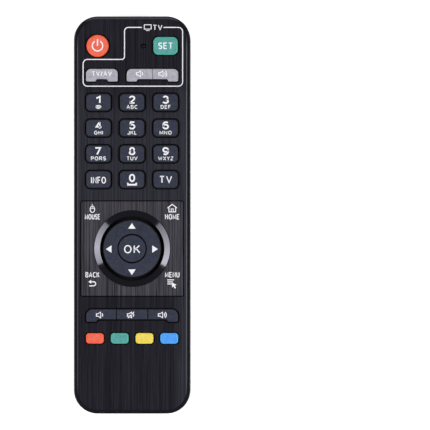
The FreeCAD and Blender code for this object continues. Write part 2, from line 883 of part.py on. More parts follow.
def nav_bezel():
    """Glossy ring with a sloping face, set into the plate round the ring key."""
    outer = bezel_outer_radius
    inner = bezel_inner_radius
    low = bezel_top_z - bezel_height
    rim = outer - bezel_rim
    lip_z = bezel_top_z - (rim - inner) * math.tan(math.radians(bezel_slope))
    edges = [
        Part.makeLine(V(inner, 0, low), V(outer, 0, low)),
        Part.makeLine(V(outer, 0, low), V(outer, 0, bezel_top_z)),
        Part.makeLine(V(outer, 0, bezel_top_z), V(rim, 0, bezel_top_z)),
        Part.makeLine(V(rim, 0, bezel_top_z), V(inner, 0, lip_z)),
        Part.makeLine(V(inner, 0, lip_z), V(inner, 0, low)),
    ]
    ring = Part.Face(Part.Wire(edges)).revolve(V(0, 0, 0), UP, 360)
    ring.translate(V(0, plate_y, 0))
    return ring


def washer(inner_radius, outer_radius, z0, z1):
    """Flat ring about the middle of the plate."""
    hole = rod(0, plate_y, inner_radius, z0 - OVER, z1 + OVER)
    return rod(0, plate_y, outer_radius, z0, z1).cut(hole)


def nav_ring():
    """Ring key with four pegs that press the contacts under it."""
    inner = ok_diameter / 2 + ring_gap
    outer = rod(0, plate_y, ring_diameter / 2, ring_under_z, ring_top_z)
    outer = round_level(outer, ring_top_z, ring_edge_round)
    ring = outer.cut(rod(0, plate_y, inner, ring_under_z - OVER, ring_top_z + OVER))
    inner_rim = [edge for edge in level_edges(ring, ring_top_z)
                 if edge.BoundBox.XLength < ring_diameter / 2 + inner]
    ring = ring.makeFillet(ring_inner_edge_round, inner_rim)
    pegs = []
    for angle in range(0, 360, 90):
        x = ring_peg_circle * math.cos(math.radians(angle))
        y = plate_y + ring_peg_circle * math.sin(math.radians(angle))
        pegs.append(rod(x, y, ring_peg_radius, ring_under_z - ring_peg_height,
                        ring_under_z + ring_height / 2))
    return ring.fuse(pegs).removeSplitter()


def key_ok():
    """Round centre key."""
    cap = rod(0, plate_y, ok_diameter / 2, ok_top_z - ok_height, ok_top_z)
    cap = round_level(cap, ok_top_z, ok_edge_round)
    pill = rod(0, plate_y, pill_radius, pill_under_z, ok_top_z - ok_height / 2)
    return cap.fuse(pill).removeSplitter()


def nav_ring_gimbal():
    """Thin ring under the ring key that lets it tip both ways."""
    inner = ring_gimbal_inner_diameter / 2
    return washer(inner, inner + ring_gimbal_width,
                  ring_gimbal_top_z - gimbal_thickness, ring_gimbal_top_z)


def corner_plate_gimbal():
    """Thin ring under the plate that lets it tip about both diagonals."""
    inner = bezel_outer_radius + plate_gimbal_gap
    return washer(inner, inner + plate_gimbal_width,
                  plate_gimbal_top_z - gimbal_thickness, plate_gimbal_top_z)


def window_opening():
    """Hole through the end wall for the infrared window."""
    half = window_width / 2 + window_gap
    tall = window_height / 2 + window_gap
    return box(-half, half, inner_half_length - OVER, half_length + OVER,
               window_axis_z - tall, window_axis_z + tall)


def ir_window():
    """Dark window in the end wall, with a flange behind it at both ends."""
    flange_face = inner_half_length - window_gap
    half = window_width / 2 + window_flange
    tall = window_height / 2
    flange = box(-half, half, flange_face - window_flange, flange_face,
                 window_axis_z - tall, window_axis_z + tall)
    pane = box(-window_width / 2, window_width / 2, flange_face - window_flange, half_length,
               window_axis_z - tall, window_axis_z + tall)
    return pane.fuse(flange).removeSplitter()


def lamp_with_leads(x, radius, length, flange):
    """Round-nosed lamp that points along Y, with two leads that turn up to the board."""
    tip_y = inner_half_length - window_gap - window_flange - emitter_from_window
    tail_y = tip_y - length
    axis = V(0, 1, 0)
    barrel = Part.makeCylinder(radius, length - radius, V(x, tail_y, window_axis_z), axis)
    nose = Part.makeSphere(radius, V(x, tip_y - radius, window_axis_z))
    pieces = [nose]
    if flange:
        pieces.append(Part.makeCylinder(
            radius + flange, emitter_flange_length, V(x, tail_y, window_axis_z), axis))
    for side in (-1, 1):
        lead_x = x + side * radius / 2
        half = lead_size / 2
        pieces.append(box(lead_x - half, lead_x + half, tail_y - lead_run, tail_y + half,
                          window_axis_z - half, window_axis_z + half))
        pieces.append(box(lead_x - half, lead_x + half, tail_y - lead_run, tail_y - lead_run + lead_size,
                          window_axis_z - half, board_under_z))
    return barrel.fuse(pieces).removeSplitter()


def indicator_lamp():
    """Small lamp that stands on the board and shows through the face."""
    radius = lamp_diameter / 2
    lamp = rod(lamp_x, top_row_y, radius, board_top_z, face_z - lamp_below_face)
    return round_level(lamp, face_z - lamp_below_face, radius / 2)


def battery_cell(x, plus_up):
    """Cylindrical cell with its raised contact at one end."""
    direction = 1 if plus_up else -1
    low_y = bay_low_y + contact_thickness + (spring_length if plus_up else contact_clearance / 2)
    base_y = low_y if plus_up else low_y + cell_length
    axis = V(0, direction, 0)
    can_length = cell_length - cell_nub_height
    can = Part.makeCylinder(cell_diameter / 2, can_length, V(x, base_y, cell_axis_z), axis)
    can = can.makeFillet(cell_edge_round, [edge for edge in can.Edges if edge.Closed
                                           and edge.BoundBox.YLength < TINY])
    tip = Part.makeCylinder(cell_nub_diameter / 2, cell_length, V(x, base_y, cell_axis_z), axis)
    return can.fuse(tip).removeSplitter()


def contact_sheet(x0, x1, at_top):
    """Flat contact against one end of the bay."""
    if at_top:
        y0, y1 = bay_high_y - contact_thickness, bay_high_y
    else:
        y0, y1 = bay_low_y, bay_low_y + contact_thickness
    return box(x0, x1, y0, y1, door_inner_z + door_gap + ledge_thickness + contact_above_ledge,
               bay_roof_z - contact_clearance)


def top_contact(side):
    """Contact at the latch end, with a tab that reaches the board through the bay's roof."""
    x = side * cell_x
    sheet = contact_sheet(x - contact_width / 2, x + contact_width / 2, True)
    tab = box(x - contact_tab_width / 2, x + contact_tab_width / 2, bay_high_y - contact_thickness,
              bay_high_y, bay_roof_z - OVER, board_under_z)
    return sheet.fuse(tab).removeSplitter()


def contact_slot(side):
    """Slot in the bay's roof for a contact tab."""
    half = contact_tab_width / 2 + contact_clearance
    x = side * cell_x
    return box(x - half, x + half, bay_high_y - contact_thickness - contact_clearance,
               bay_high_y + contact_clearance, bay_roof_z - OVER, bay_top_z + OVER)


def contact_bridge():
    """Sheet that joins the two cells at the hinge end."""
    return contact_sheet(-cell_x - contact_width / 2, cell_x + contact_width / 2, False)


def biarc(start, start_way, end, end_way):
    """Two arcs that join two points along given directions."""
    chord = end - start
    both = start_way + end_way
    spread = 2 * (1 - start_way.dot(end_way))
    along = chord.dot(both)
    reach = (-along + math.sqrt(along * along + spread * chord.dot(chord))) / spread
    first = start + start_way * reach
    second = end - end_way * reach
    joint = (first + second) * 0.5
    return [arc_through(start, first, joint), arc_through(joint, second, end)]


def arc_through(start, corner, end):
    """Arc from start to end that is tangent to the lines through the corner."""
    middle = (start + end) * 0.5
    to_corner = corner - middle
    height = to_corner.Length
    half = (end - start).Length / 2
    rise = half * math.tan(math.atan2(height, half) / 2)
    return Part.Arc(start, middle + to_corner.normalize() * rise, end).toShape()


def contact_spring(x, at_top):
    """Wire spring between the contact and the flat end of a cell, as one unbroken tube."""
    direction = -1 if at_top else 1
    seat_y = bay_high_y - contact_thickness if at_top else bay_low_y + contact_thickness
    pitch = (spring_length - spring_wire) / spring_turns
    slope = pitch / (2 * math.pi)
    scale = math.hypot(spring_radius, slope)
    quarters = 4 * spring_turns
    points = []
    ways = []
    for number in range(quarters + 1):
        angle = number * math.pi / 2
        climb = spring_wire / 2 + slope * angle
        points.append(V(x + spring_radius * math.cos(angle), seat_y + direction * climb,
                        cell_axis_z + spring_radius * math.sin(angle)))
        ways.append(V(-spring_radius * math.sin(angle) / scale, direction * slope / scale,
                      spring_radius * math.cos(angle) / scale))
    edges = []
    for number in range(quarters):
        edges += biarc(points[number], ways[number], points[number + 1], ways[number + 1])
    section = Part.Wire([Part.makeCircle(spring_wire / 2, points[0], ways[0])])
    return Part.Wire(edges).makePipeShell([section], True, False)


def controller_chip():
    """Controller chip under the board, with a row of pins along both sides."""
    y = half_length - chip_from_end
    top = board_under_z - chip_standoff
    pieces = []
    for number in range(chip_pins_per_side):
        pin_x = (number - (chip_pins_per_side - 1) / 2) * chip_pin_pitch
        half = chip_pin_width / 2
        for side in (-1, 1):
            near = y + side * (chip_width / 2 - chip_pin_thickness)
            far = y + side * (chip_width / 2 + chip_pin_reach)
            foot = y + side * (chip_width / 2 + chip_pin_reach - chip_pin_thickness)
            middle = top - chip_height / 2
            pieces.append(box(pin_x - half, pin_x + half, min(near, far), max(near, far),
                              middle - chip_pin_thickness / 2, middle + chip_pin_thickness / 2))
            pieces.append(box(pin_x - half, pin_x + half, min(foot, far), max(foot, far),
                              middle - chip_pin_thickness / 2, board_under_z))
    body = box(-chip_length / 2, chip_length / 2, y - chip_width / 2, y + chip_width / 2,
               top - chip_height, top)
    return body.fuse(pieces).removeSplitter()


def resonator():
    """Metal can that keeps the controller's time."""
    y = half_length - chip_from_end
    x = board_half_width - resonator_from_edge
    low = board_under_z - resonator_height
    can = slab(resonator_width, resonator_length, resonator_end_radius, low, board_under_z, x, y)
    return round_level(can, low, can_edge_round)


def capacitor():
    """Upright capacitor under the board."""
    y = half_length - chip_from_end - capacitor_drop
    x = capacitor_from_edge - board_half_width
    low = board_under_z - capacitor_height
    return round_level(rod(x, y, capacitor_radius, low, board_under_z), low, can_edge_round)


def transistor():
    """Small transistor that drives the infrared lamp, with three legs."""
    x = transistor_offset
    y = half_length - transistor_from_end
    leg = transistor_leg_width
    low = board_under_z - transistor_height
    body = box(x - transistor_width / 2, x + transistor_width / 2, y - transistor_length / 2,
               y + transistor_length / 2, low, board_under_z - chip_standoff)
    legs = []
    for shift, side in ((-1, -1), (1, -1), (0, 1)):
        leg_x = x + shift * transistor_leg_pitch
        end = y + side * (transistor_length / 2 + leg)
        root = y + side * transistor_length / 4
        legs.append(box(leg_x - leg / 2, leg_x + leg / 2, min(root, end), max(root, end),
                        board_under_z - transistor_height / 2, board_under_z))
    return body.fuse(legs).removeSplitter()


def chip_resistors():
    """Row of chip resistors under the board."""
    y = half_length - chip_from_end + resistor_drop
    parts = []
    for number in range(resistor_count):
        x = (number - (resistor_count - 1) / 2) * resistor_pitch
        parts.append(box(x - resistor_width / 2, x + resistor_width / 2, y - resistor_length / 2,
                         y + resistor_length / 2, board_under_z - resistor_height, board_under_z))
    return Part.makeCompound(parts)


def build():
    """Make every piece and write it."""
    os.makedirs("parts", exist_ok=True)
    singles = key_outlines()
    bars = bar_plans()
    places = contact_places(singles, bars)
    pieces = {
        "front_shell": front_shell(singles, bars),
        "back_shell": back_shell(),
        "battery_door": battery_door(),
        "battery_door_latch": battery_door_latch(),
        "circuit_board": circuit_board(),
        "keypad_mat": keypad_mat(places),
        "contact_pads": contact_pads(places),
        "board_screws": board_screws(),
        "corner_plate": corner_plate(),
        "corner_plate_gimbal": corner_plate_gimbal(),
        "nav_bezel": nav_bezel(),
        "nav_ring": nav_ring(),
        "nav_ring_gimbal": nav_ring_gimbal(),
        "key_ok": key_ok(),
        "ir_window": ir_window(),
        "ir_emitter": lamp_with_leads(0, emitter_radius, emitter_length, emitter_flange),
        "ir_receiver": lamp_with_leads(receiver_offset, receiver_radius, receiver_length, 0),
        "indicator_lamp": indicator_lamp(),
        "battery_cell_left": battery_cell(-cell_x, True),
        "battery_cell_right": battery_cell(cell_x, False),
        "contact_positive": top_contact(-1),
        "contact_negative": top_contact(1),
        "contact_bridge": contact_bridge(),
        "contact_spring_upper": contact_spring(cell_x, True),
        "contact_spring_lower": contact_spring(-cell_x, False),
        "controller_chip": controller_chip(),
        "resonator": resonator(),
        "capacitor": capacitor(),
        "transistor": transistor(),
        "chip_resistors": chip_resistors(),
    }
    for name, (outline, proud, centre) in singles.items():
        pieces[name] = plain_key(outline, face_z + proud, centre)
    for names, outline, left, right, y, length, top_z, splits in bars:
        for name, key in zip(names, bar_keys(outline, left, right, y, length, top_z, splits)):
            pieces[name] = key
    for name, shape in pieces.items():
        export(name, shape)
        print(name, shape.isValid(), len(shape.Solids), round(shape.Volume, 2))


build()
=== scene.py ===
"""Looks of the remote control: materials, printed marks, floor, lamps and camera."""
import json
import math

import bmesh
import bpy
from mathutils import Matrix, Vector


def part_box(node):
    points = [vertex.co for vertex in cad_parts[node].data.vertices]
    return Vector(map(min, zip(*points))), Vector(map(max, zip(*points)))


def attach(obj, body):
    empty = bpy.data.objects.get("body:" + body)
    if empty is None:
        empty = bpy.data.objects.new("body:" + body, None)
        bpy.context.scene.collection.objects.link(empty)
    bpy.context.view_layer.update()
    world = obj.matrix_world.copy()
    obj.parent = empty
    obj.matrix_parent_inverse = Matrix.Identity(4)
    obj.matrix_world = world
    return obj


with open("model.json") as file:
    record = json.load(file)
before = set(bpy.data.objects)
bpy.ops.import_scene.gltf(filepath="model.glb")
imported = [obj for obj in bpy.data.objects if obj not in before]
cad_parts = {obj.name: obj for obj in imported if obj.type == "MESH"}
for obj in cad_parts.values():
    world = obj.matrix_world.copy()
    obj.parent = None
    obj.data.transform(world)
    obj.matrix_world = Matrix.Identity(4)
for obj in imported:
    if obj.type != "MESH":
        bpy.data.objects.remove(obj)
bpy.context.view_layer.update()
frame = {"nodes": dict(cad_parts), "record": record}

MM = 0.001
NODES = frame["nodes"]
BODY_OF_NODE = {node: body for body, nodes in frame["record"]["behaviour"]["bodies"].items()
                for node in nodes}

# Outline of the case and heights of its face and back, in millimetres
HALF_WIDTH = 24.45
HALF_LENGTH = 83.45
CORNER_RADIUS = 9.9
FACE_Z = 20.0
BACK_Z = 0.6

# Face: its brushed field starts this far inside the outline, with a painted highlight line along that
# edge and a painted highlight rim at its upper end
FIELD_INSET = 1.5
LINE_INSET = 1.53
LINE_HALF_WIDTH = 0.19
TOP_RIM_INSET = 0.8
TOP_RIM_HALF_WIDTH = 0.5

# Middle of the corner plate, and the dark guard ring that lies under it on the board
PLATE_Y = -14.1
GUARD_RADIUS = 12.6
GUARD_WIDTH = 2.8

# Thumb groove across the back: part of a cylinder that lies along X
GROOVE_Y = 12.5
GROOVE_RADIUS = 33.0
GROOVE_TOP_Z = 2.8
GROOVE_AXIS_Z = GROOVE_TOP_Z - GROOVE_RADIUS

# Battery door and latch slot on the back
DOOR_HALF_WIDTH = 13.2
DOOR_LOW_Y = -73.8
DOOR_HIGH_Y = -17.0
DOOR_HALF_LENGTH = (DOOR_HIGH_Y - DOOR_LOW_Y) / 2
DOOR_Y = (DOOR_HIGH_Y + DOOR_LOW_Y) / 2
DOOR_RADIUS = 1.7
DOOR_INNER_Z = 2.2
SLOT_HALF_WIDTH = 5.6
SLOT_HIGH_Y = -13.5
RECESS_Y = -12.5
RECESS_RADIUS = 5.7
PAD_HIGH_Y = -10.75
PAD_LOW_Y = -14.2
PAD_HALF_WIDTH = 3.1

# Long edges of the back, with a painted highlight stripe over the grain and a faint painted sheen on
# their inner side
EDGE_X = 20.1
EDGE_HALF_WIDTH = 1.2
HALO_WIDTH = 6.0
HALO_SHARE = 0.34

# Power mark: an open ring with a bar through its gap
POWER_RING_RADIUS = 2.18
POWER_RING_HALF_WIDTH = 0.25
POWER_BAR_HALF_WIDTH = 0.27
POWER_BAR_HALF_LENGTH = 1.4
POWER_BAR_LIFT = 1.35
POWER_GAP_HALF_WIDTH = 1.1

# Battery cells: length of the bare metal at each end, and how far the light band reaches
CELL_BARE = 3.6
CELL_BAND = 14.0

# Printed ink stands this far above what it is printed on, and reaches this far into it
INK_PROUD = 0.02
INK_SUNK = 0.03

# Pen strokes: nearer points are the same one, and a mitred corner turns no sharper than this cosine
SAME_PLACE = 1e-6
SHARPEST_MITRE = 0.6


def srgb(red, green, blue):
    """Linear colour of one written with three values from 0 to 255."""
    def linear(value):
        share = value / 255
        return share / 12.92 if share <= 0.04045 else ((share + 0.055) / 1.055) ** 2.4
    return linear(red), linear(green), linear(blue), 1.0


# Near black that is painted as shade in gaps, holes and hollows
PAINTED_SHADE_BLACK = srgb(3, 3, 4)
INK_DULL = srgb(232, 232, 236)
INK_BRIGHT = srgb(250, 250, 252)
NO_TINT = srgb(255, 255, 255)


class Look:
    """One procedural material, built from the piece's own coordinates in millimetres."""

    def __init__(self, name, metallic=0.0, specular=0.5, tint=NO_TINT, ior=1.5, clear=0.0,
                 coat=0.0, coat_roughness=0.1):
        self.material = bpy.data.materials.new(name)
        self.material.use_nodes = True
        self.tree = self.material.node_tree
        self.shader = self.tree.nodes["Principled BSDF"]
        self.shader.inputs["Metallic"].default_value = metallic
        self.shader.inputs["Specular IOR Level"].default_value = specular
        self.shader.inputs["Specular Tint"].default_value = tint
        self.shader.inputs["IOR"].default_value = ior
        self.shader.inputs["Transmission Weight"].default_value = clear
        self.shader.inputs["Coat Weight"].default_value = coat
        self.shader.inputs["Coat Roughness"].default_value = coat_roughness
        coordinates = self.tree.nodes.new("ShaderNodeTexCoord")
        self.place = self.vector("SCALE", coordinates.outputs["Object"], scale=1 / MM)
        self.x = self.axis(self.place, "X")
        self.y = self.axis(self.place, "Y")
        self.z = self.axis(self.place, "Z")
        self.upright = self.axis(coordinates.outputs["Normal"], "Z")

    def wire(self, value, socket):
        """Link an output to a socket, or set the socket to a number or colour."""
        if isinstance(value, bpy.types.NodeSocket):
            self.tree.links.new(value, socket)
        else:
            socket.default_value = value

    def vector(self, operation, a, b=None, scale=None):
        """Vector arithmetic."""
        node = self.tree.nodes.new("ShaderNodeVectorMath")
        node.operation = operation
        self.wire(a, node.inputs[0])
        if b is not None:
            self.wire(b, node.inputs[1])
        if scale is not None:
            node.inputs["Scale"].default_value = scale
        return node.outputs["Value" if operation == "LENGTH" else "Vector"]

    def math(self, operation, a, b=0.0):
        """Arithmetic on two numbers."""
        node = self.tree.nodes.new("ShaderNodeMath")
        node.operation = operation
        self.wire(a, node.inputs[0])
        self.wire(b, node.inputs[1])
        return node.outputs[0]

    def axis(self, vector, name):
        """One coordinate of a vector."""
        node = self.tree.nodes.new("ShaderNodeSeparateXYZ")
        self.wire(vector, node.inputs[0])
        return node.outputs[name]

    def away(self, value, middle=0.0):
        """How far a value is from a middle one, without its sign."""
        return self.math("ABSOLUTE", self.math("SUBTRACT", value, middle))

    def reach(self, centre, axes):
        """Distance from a centre, along those axes that are given as 1."""
        offset = self.vector("SUBTRACT", self.place, centre)
        return self.vector("LENGTH", self.vector("MULTIPLY", offset, axes))

    def noise(self, size, detail=2.0, rough=0.5, shift=0.0):
        """Noise from 0 to 1 whose grains are about as large as size says, along X, Y and Z."""
        sizes = size if isinstance(size, tuple) else (size, size, size)
        spread = self.vector("MULTIPLY", self.place, tuple(1 / part for part in sizes))
        moved = self.vector("ADD", spread, (shift, shift, shift))
        node = self.tree.nodes.new("ShaderNodeTexNoise")
        self.wire(moved, node.inputs["Vector"])
        node.inputs["Scale"].default_value = 1.0
        node.inputs["Detail"].default_value = detail
        node.inputs["Roughness"].default_value = rough
        return node.outputs["Fac"]

    def cells(self, size):
        """Distance to the nearest of scattered points about size apart."""
        node = self.tree.nodes.new("ShaderNodeTexVoronoi")
        self.wire(self.vector("SCALE", self.place, scale=1 / size), node.inputs["Vector"])
        node.inputs["Scale"].default_value = 1.0
        return node.outputs["Distance"]

    def streaks(self):
        """Brushed lines along Y, coarse and fine together, about 0.5 in the middle."""
        coarse_share = 0.35
        coarse = self.noise((0.3, 60, 60), detail=0.0)
        fine = self.noise((0.16, 20, 20), detail=3.0, rough=0.7, shift=7.0)
        return self.blend([(coarse, coarse_share), (fine, 1.0 - coarse_share)])

    def span(self, value, low, high, start=0.0, end=1.0):
        """Ramp that is start where the value is low and end where it is high, and held beyond both.

        Low may be the larger one, for a ramp that falls.
        """
        node = self.tree.nodes.new("ShaderNodeMapRange")
        self.wire(value, node.inputs["Value"])
        node.inputs["From Min"].default_value = low
        node.inputs["From Max"].default_value = high
        node.inputs["To Min"].default_value = start
        node.inputs["To Max"].default_value = end
        return node.outputs["Result"]

    def within(self, value, middle, half, soft=0.1):
        """Mask of the values closer to the middle than half."""
        return self.span(self.away(value, middle), half + soft / 2, half - soft / 2)

    def between(self, value, low, high):
        """Mask of the values between two others."""
        return self.within(value, (low + high) / 2, (high - low) / 2)

    def both(self, *masks):
        """Product of masks."""
        product = masks[0]
        for mask in masks[1:]:
            product = self.math("MULTIPLY", product, mask)
        return product

    def either(self, *masks):
        """Largest of masks."""
        largest = masks[0]
        for mask in masks[1:]:
            largest = self.math("MAXIMUM", largest, mask)
        return largest

    def outside(self, mask):
        """Everything that a mask leaves out."""
        return self.math("SUBTRACT", 1.0, mask)

    def blend(self, parts):
        """Sum of values, each with its weight."""
        total = self.math("MULTIPLY", *parts[0])
        for part in parts[1:]:
            total = self.math("ADD", total, self.math("MULTIPLY", *part))
        return total

    def mix(self, share, first, second):
        """Colour between two colours."""
        node = self.tree.nodes.new("ShaderNodeMix")
        node.data_type = "RGBA"
        self.wire(share, node.inputs["Factor"])
        self.wire(first, node.inputs[6])
        self.wire(second, node.inputs[7])
        return node.outputs[2]

    def tone(self, grain, dark, light, spread=0.2):
        """Colour that follows a grain, from dark to light over a spread to both sides of 0.5."""
        return self.mix(self.span(grain, 0.5 - spread, 0.5 + spread), dark, light)

    def polish(self, grain, smooth, matt, spread=0.2):
        """Roughness that follows a grain, over a spread to both sides of 0.5."""
        return self.span(grain, 0.5 - spread, 0.5 + spread, smooth, matt)

    def layers(self, colour, masked_shades):
        """Colour with other shades over it, each where its mask says, and the last one on top."""
        for mask, shade in masked_shades:
            colour = self.mix(mask, colour, shade)
        return colour

    def inset(self, half_width=HALF_WIDTH, half_length=HALF_LENGTH, radius=CORNER_RADIUS, middle_y=0.0):
        """Distance in millimetres from a rounded outline, the case's or another, towards its middle."""
        centred = self.vector("SUBTRACT", self.place, (0, middle_y, 0))
        flat = self.vector("MULTIPLY", self.vector("ABSOLUTE", centred), (1, 1, 0))
        past = self.vector("SUBTRACT", flat, (half_width - radius, half_length - radius, 0))
        beyond = self.vector("LENGTH", self.vector("MAXIMUM", past, (0, 0, 0)))
        short = self.math("MAXIMUM", self.axis(past, "X"), self.axis(past, "Y"))
        depth = self.math("ADD", beyond, self.math("MINIMUM", short, 0.0))
        return self.math("SUBTRACT", radius, depth)

    def finish(self, colour, roughness, height=None, depth=0.01):
        """Set the colour, the roughness and a bump whose full height is depth millimetres."""
        self.wire(colour, self.shader.inputs["Base Color"])
        self.wire(roughness, self.shader.inputs["Roughness"])
        if height is not None:
            node = self.tree.nodes.new("ShaderNodeBump")
            node.inputs["Strength"].default_value = 1.0
            node.inputs["Distance"].default_value = depth * MM
            self.wire(height, node.inputs["Height"])
            self.wire(node.outputs["Normal"], self.shader.inputs["Normal"])
        return self.material


def plain(name, size, dark, light, roughness, depth, detail=2.0, rough=0.5, **surface):
    """Plain material: one grain runs through its colour, its roughness and its height."""
    look = Look(name, **surface)
    grain = look.noise(size, detail, rough)
    return look.finish(look.tone(grain, dark, light), look.polish(grain, *roughness), grain, depth)


def brushing(look, lines):
    """Brushed field of the face, with a lighter painted sheen round the number keys and along both sides.

    Each ramp is given by where the painted sheen starts and where it is full.
    """
    keys_y, keys_half_length, keys_fade = 24.0, 24.0, 14.0
    keys_share, side_share = 0.65, 0.7
    frame_ramp, right_ramp, left_ramp, left_end_ramp = (58, 50), (17.2, 20.2), (-18.6, -20.2), (-45, -10)
    dark = look.tone(lines, srgb(10, 9, 15), srgb(35, 33, 42), 0.1)
    # Painted sheen: lighter colour that stands in for light on the brushed face
    sheen = look.tone(lines, srgb(30, 30, 36), srgb(58, 58, 67), 0.15)
    keys = look.both(look.within(look.y, keys_y, keys_half_length, keys_fade), keys_share)
    below_frame = look.span(look.y, *frame_ramp, 0.0, side_share)
    right = look.both(below_frame, look.span(look.x, *right_ramp))
    left = look.both(below_frame, look.span(look.x, *left_ramp), look.span(look.y, *left_end_ramp))
    return look.mix(look.either(keys, left, right), dark, sheen)


def face_edges(look, inset):
    """Masks of the painted highlight line along both long edges of the face and of the painted highlight
    rim at its upper end.
    """
    lowest_y, full_y, lowest_share = -78.0, -25.0, 0.5
    corner_fade = 6.0
    near_top = look.span(look.z, FACE_Z - 0.7, FACE_Z - 0.5)
    straight = look.within(look.y, 0.0, HALF_LENGTH - CORNER_RADIUS, corner_fade)
    # The painted highlight line is weaker towards the lower end
    weaker_below = look.span(look.y, lowest_y, full_y, lowest_share, 1.0)
    line = look.both(look.within(inset, LINE_INSET, LINE_HALF_WIDTH), straight, near_top, weaker_below)
    upper_end = look.span(look.y, HALF_LENGTH - 2.5, HALF_LENGTH - 1.0)
    rim = look.both(look.within(inset, TOP_RIM_INSET, TOP_RIM_HALF_WIDTH, TOP_RIM_HALF_WIDTH),
                    upper_end, near_top)
    return line, rim


def brushed_face():
    """Front shell: brushed face with painted sheen and painted highlights at its edges, painted shade on
    the walls round the keys, plain satin sides.
    """
    look = Look("brushed_face", specular=0.2, tint=srgb(236, 236, 252))
    lines = look.streaks()
    grain = look.noise(0.3, detail=3.0, shift=5.0)
    inset = look.inset()
    inner = look.span(inset, FIELD_INSET, FIELD_INSET + 0.1)
    field = look.both(inner, look.span(look.z, FACE_Z - 0.25, FACE_Z - 0.1))
    # Walls of the key holes, which are painted near black as shade
    walls = look.both(inner, look.span(look.z, FACE_Z - 0.05, FACE_Z - 0.3))
    line, rim = face_edges(look, inset)
    # Colour of the painted highlight line, brighter on the right side than on the left
    line_highlight_colour = look.mix(look.span(look.x, -1.0, 1.0), srgb(96, 95, 102), srgb(115, 114, 123))
    satin = look.tone(grain, srgb(8, 8, 11), srgb(16, 16, 21))
    colour = look.layers(satin, (
        (field, brushing(look, lines)),
        (line, line_highlight_colour),
        (rim, srgb(58, 59, 64)),
        (walls, PAINTED_SHADE_BLACK)))
    sides = look.span(look.upright, 0.4, 0.2)
    roughness = look.either(look.polish(lines, 0.38, 0.52, 0.15), look.both(sides, 0.6))
    height = look.blend([(look.both(lines, field), 1.0), (grain, 0.25)])
    return look.finish(colour, roughness, height, 0.02)


def brushed_plate():
    """Corner plate: stronger brushed lines, with painted shade in the hollow round the ring."""
    look = Look("brushed_plate", specular=0.25)
    lines = look.streaks()
    # Hollow round the ring, which is painted near black as shade
    hollow = look.span(look.z, FACE_Z - 0.1, FACE_Z - 0.4)
    colour = look.mix(hollow, look.tone(lines, srgb(26, 25, 30), srgb(76, 74, 82), 0.1), PAINTED_SHADE_BLACK)
    return look.finish(colour, look.polish(lines, 0.38, 0.52, 0.15), lines, 0.03)


def worn_edges(look):
    """Mask of the painted highlight stripe along both long edges of the back, and of its halo, a faint
    painted sheen on the inner side.
    """
    stripe_fade = 1.3
    from_spine = look.away(look.x)
    stripe = look.within(from_spine, EDGE_X, EDGE_HALF_WIDTH, stripe_fade)
    halo = look.span(from_spine, EDGE_X - HALO_WIDTH, EDGE_X, 0.0, HALO_SHARE)
    return look.both(look.either(stripe, halo), look.span(look.z, BACK_Z + 1.6, BACK_Z + 1.0))


def thumb_groove(look):
    """Masks of the thumb groove and of a thin painted highlight on the edge at its ends."""
    reach = look.reach((0, GROOVE_Y, GROOVE_AXIS_Z), (0, 1, 1))
    groove = look.span(reach, GROOVE_RADIUS + 0.08, GROOVE_RADIUS + 0.03)
    lip = look.both(look.span(reach, GROOVE_RADIUS + 0.22, GROOVE_RADIUS + 0.12),
                    look.span(look.z, BACK_Z + 0.1, BACK_Z + 0.9))
    return groove, lip


def door_edges(look):
    """Masks of the painted shade in the gap round the door and of the thin painted highlight along the
    door's own edge.
    """
    gap_inset, gap_half_width = -0.1, 0.36
    shine_inset, shine_half_width, shine_share = 0.5, 0.14, 0.5
    inset = look.inset(DOOR_HALF_WIDTH, DOOR_HALF_LENGTH, DOOR_RADIUS, DOOR_Y)
    near_back = look.span(look.z, DOOR_INNER_Z + 0.5, DOOR_INNER_Z + 0.4)
    on_back = look.span(look.z, BACK_Z + 0.1, BACK_Z)
    gap = look.both(look.within(inset, gap_inset, gap_half_width), near_back)
    shine = look.both(look.within(inset, shine_inset, shine_half_width), on_back, shine_share)
    return gap, shine


def latch_gaps(look):
    """Mask of the slot beside the latch and of the gaps at both ends of its pad, where shade is painted.
    """
    spill, gap_half_width = 0.15, 0.2
    across_slot = look.within(look.x, 0.0, SLOT_HALF_WIDTH)
    across_pad = look.within(look.x, 0.0, PAD_HALF_WIDTH)
    sunk = look.span(look.z, BACK_Z + 0.7, BACK_Z + 1.0)
    slot = look.both(across_slot, look.between(look.y, DOOR_HIGH_Y - spill, SLOT_HIGH_Y + spill), sunk)
    below_pad = look.both(across_slot, look.between(look.y, DOOR_HIGH_Y, PAD_LOW_Y))
    above_pad = look.both(across_pad, look.within(look.y, PAD_HIGH_Y, gap_half_width))
    return look.either(slot, below_pad, above_pad)


def recess_crescents(look):
    """Mask of the two painted highlight crescents at the sides of the finger recess."""
    half_width, fade = 0.7, 0.9
    reach = look.reach((0, RECESS_Y, 0), (1, 1, 0))
    ring = look.within(reach, RECESS_RADIUS - half_width, half_width, fade)
    beside = look.span(look.away(look.x), 1.8, 3.6)
    above = look.span(look.y, RECESS_Y - 1.0, RECESS_Y + 2.5)
    sunk = look.span(look.z, BACK_Z + 0.02, BACK_Z + 0.1)
    return look.both(ring, beside, above, sunk)


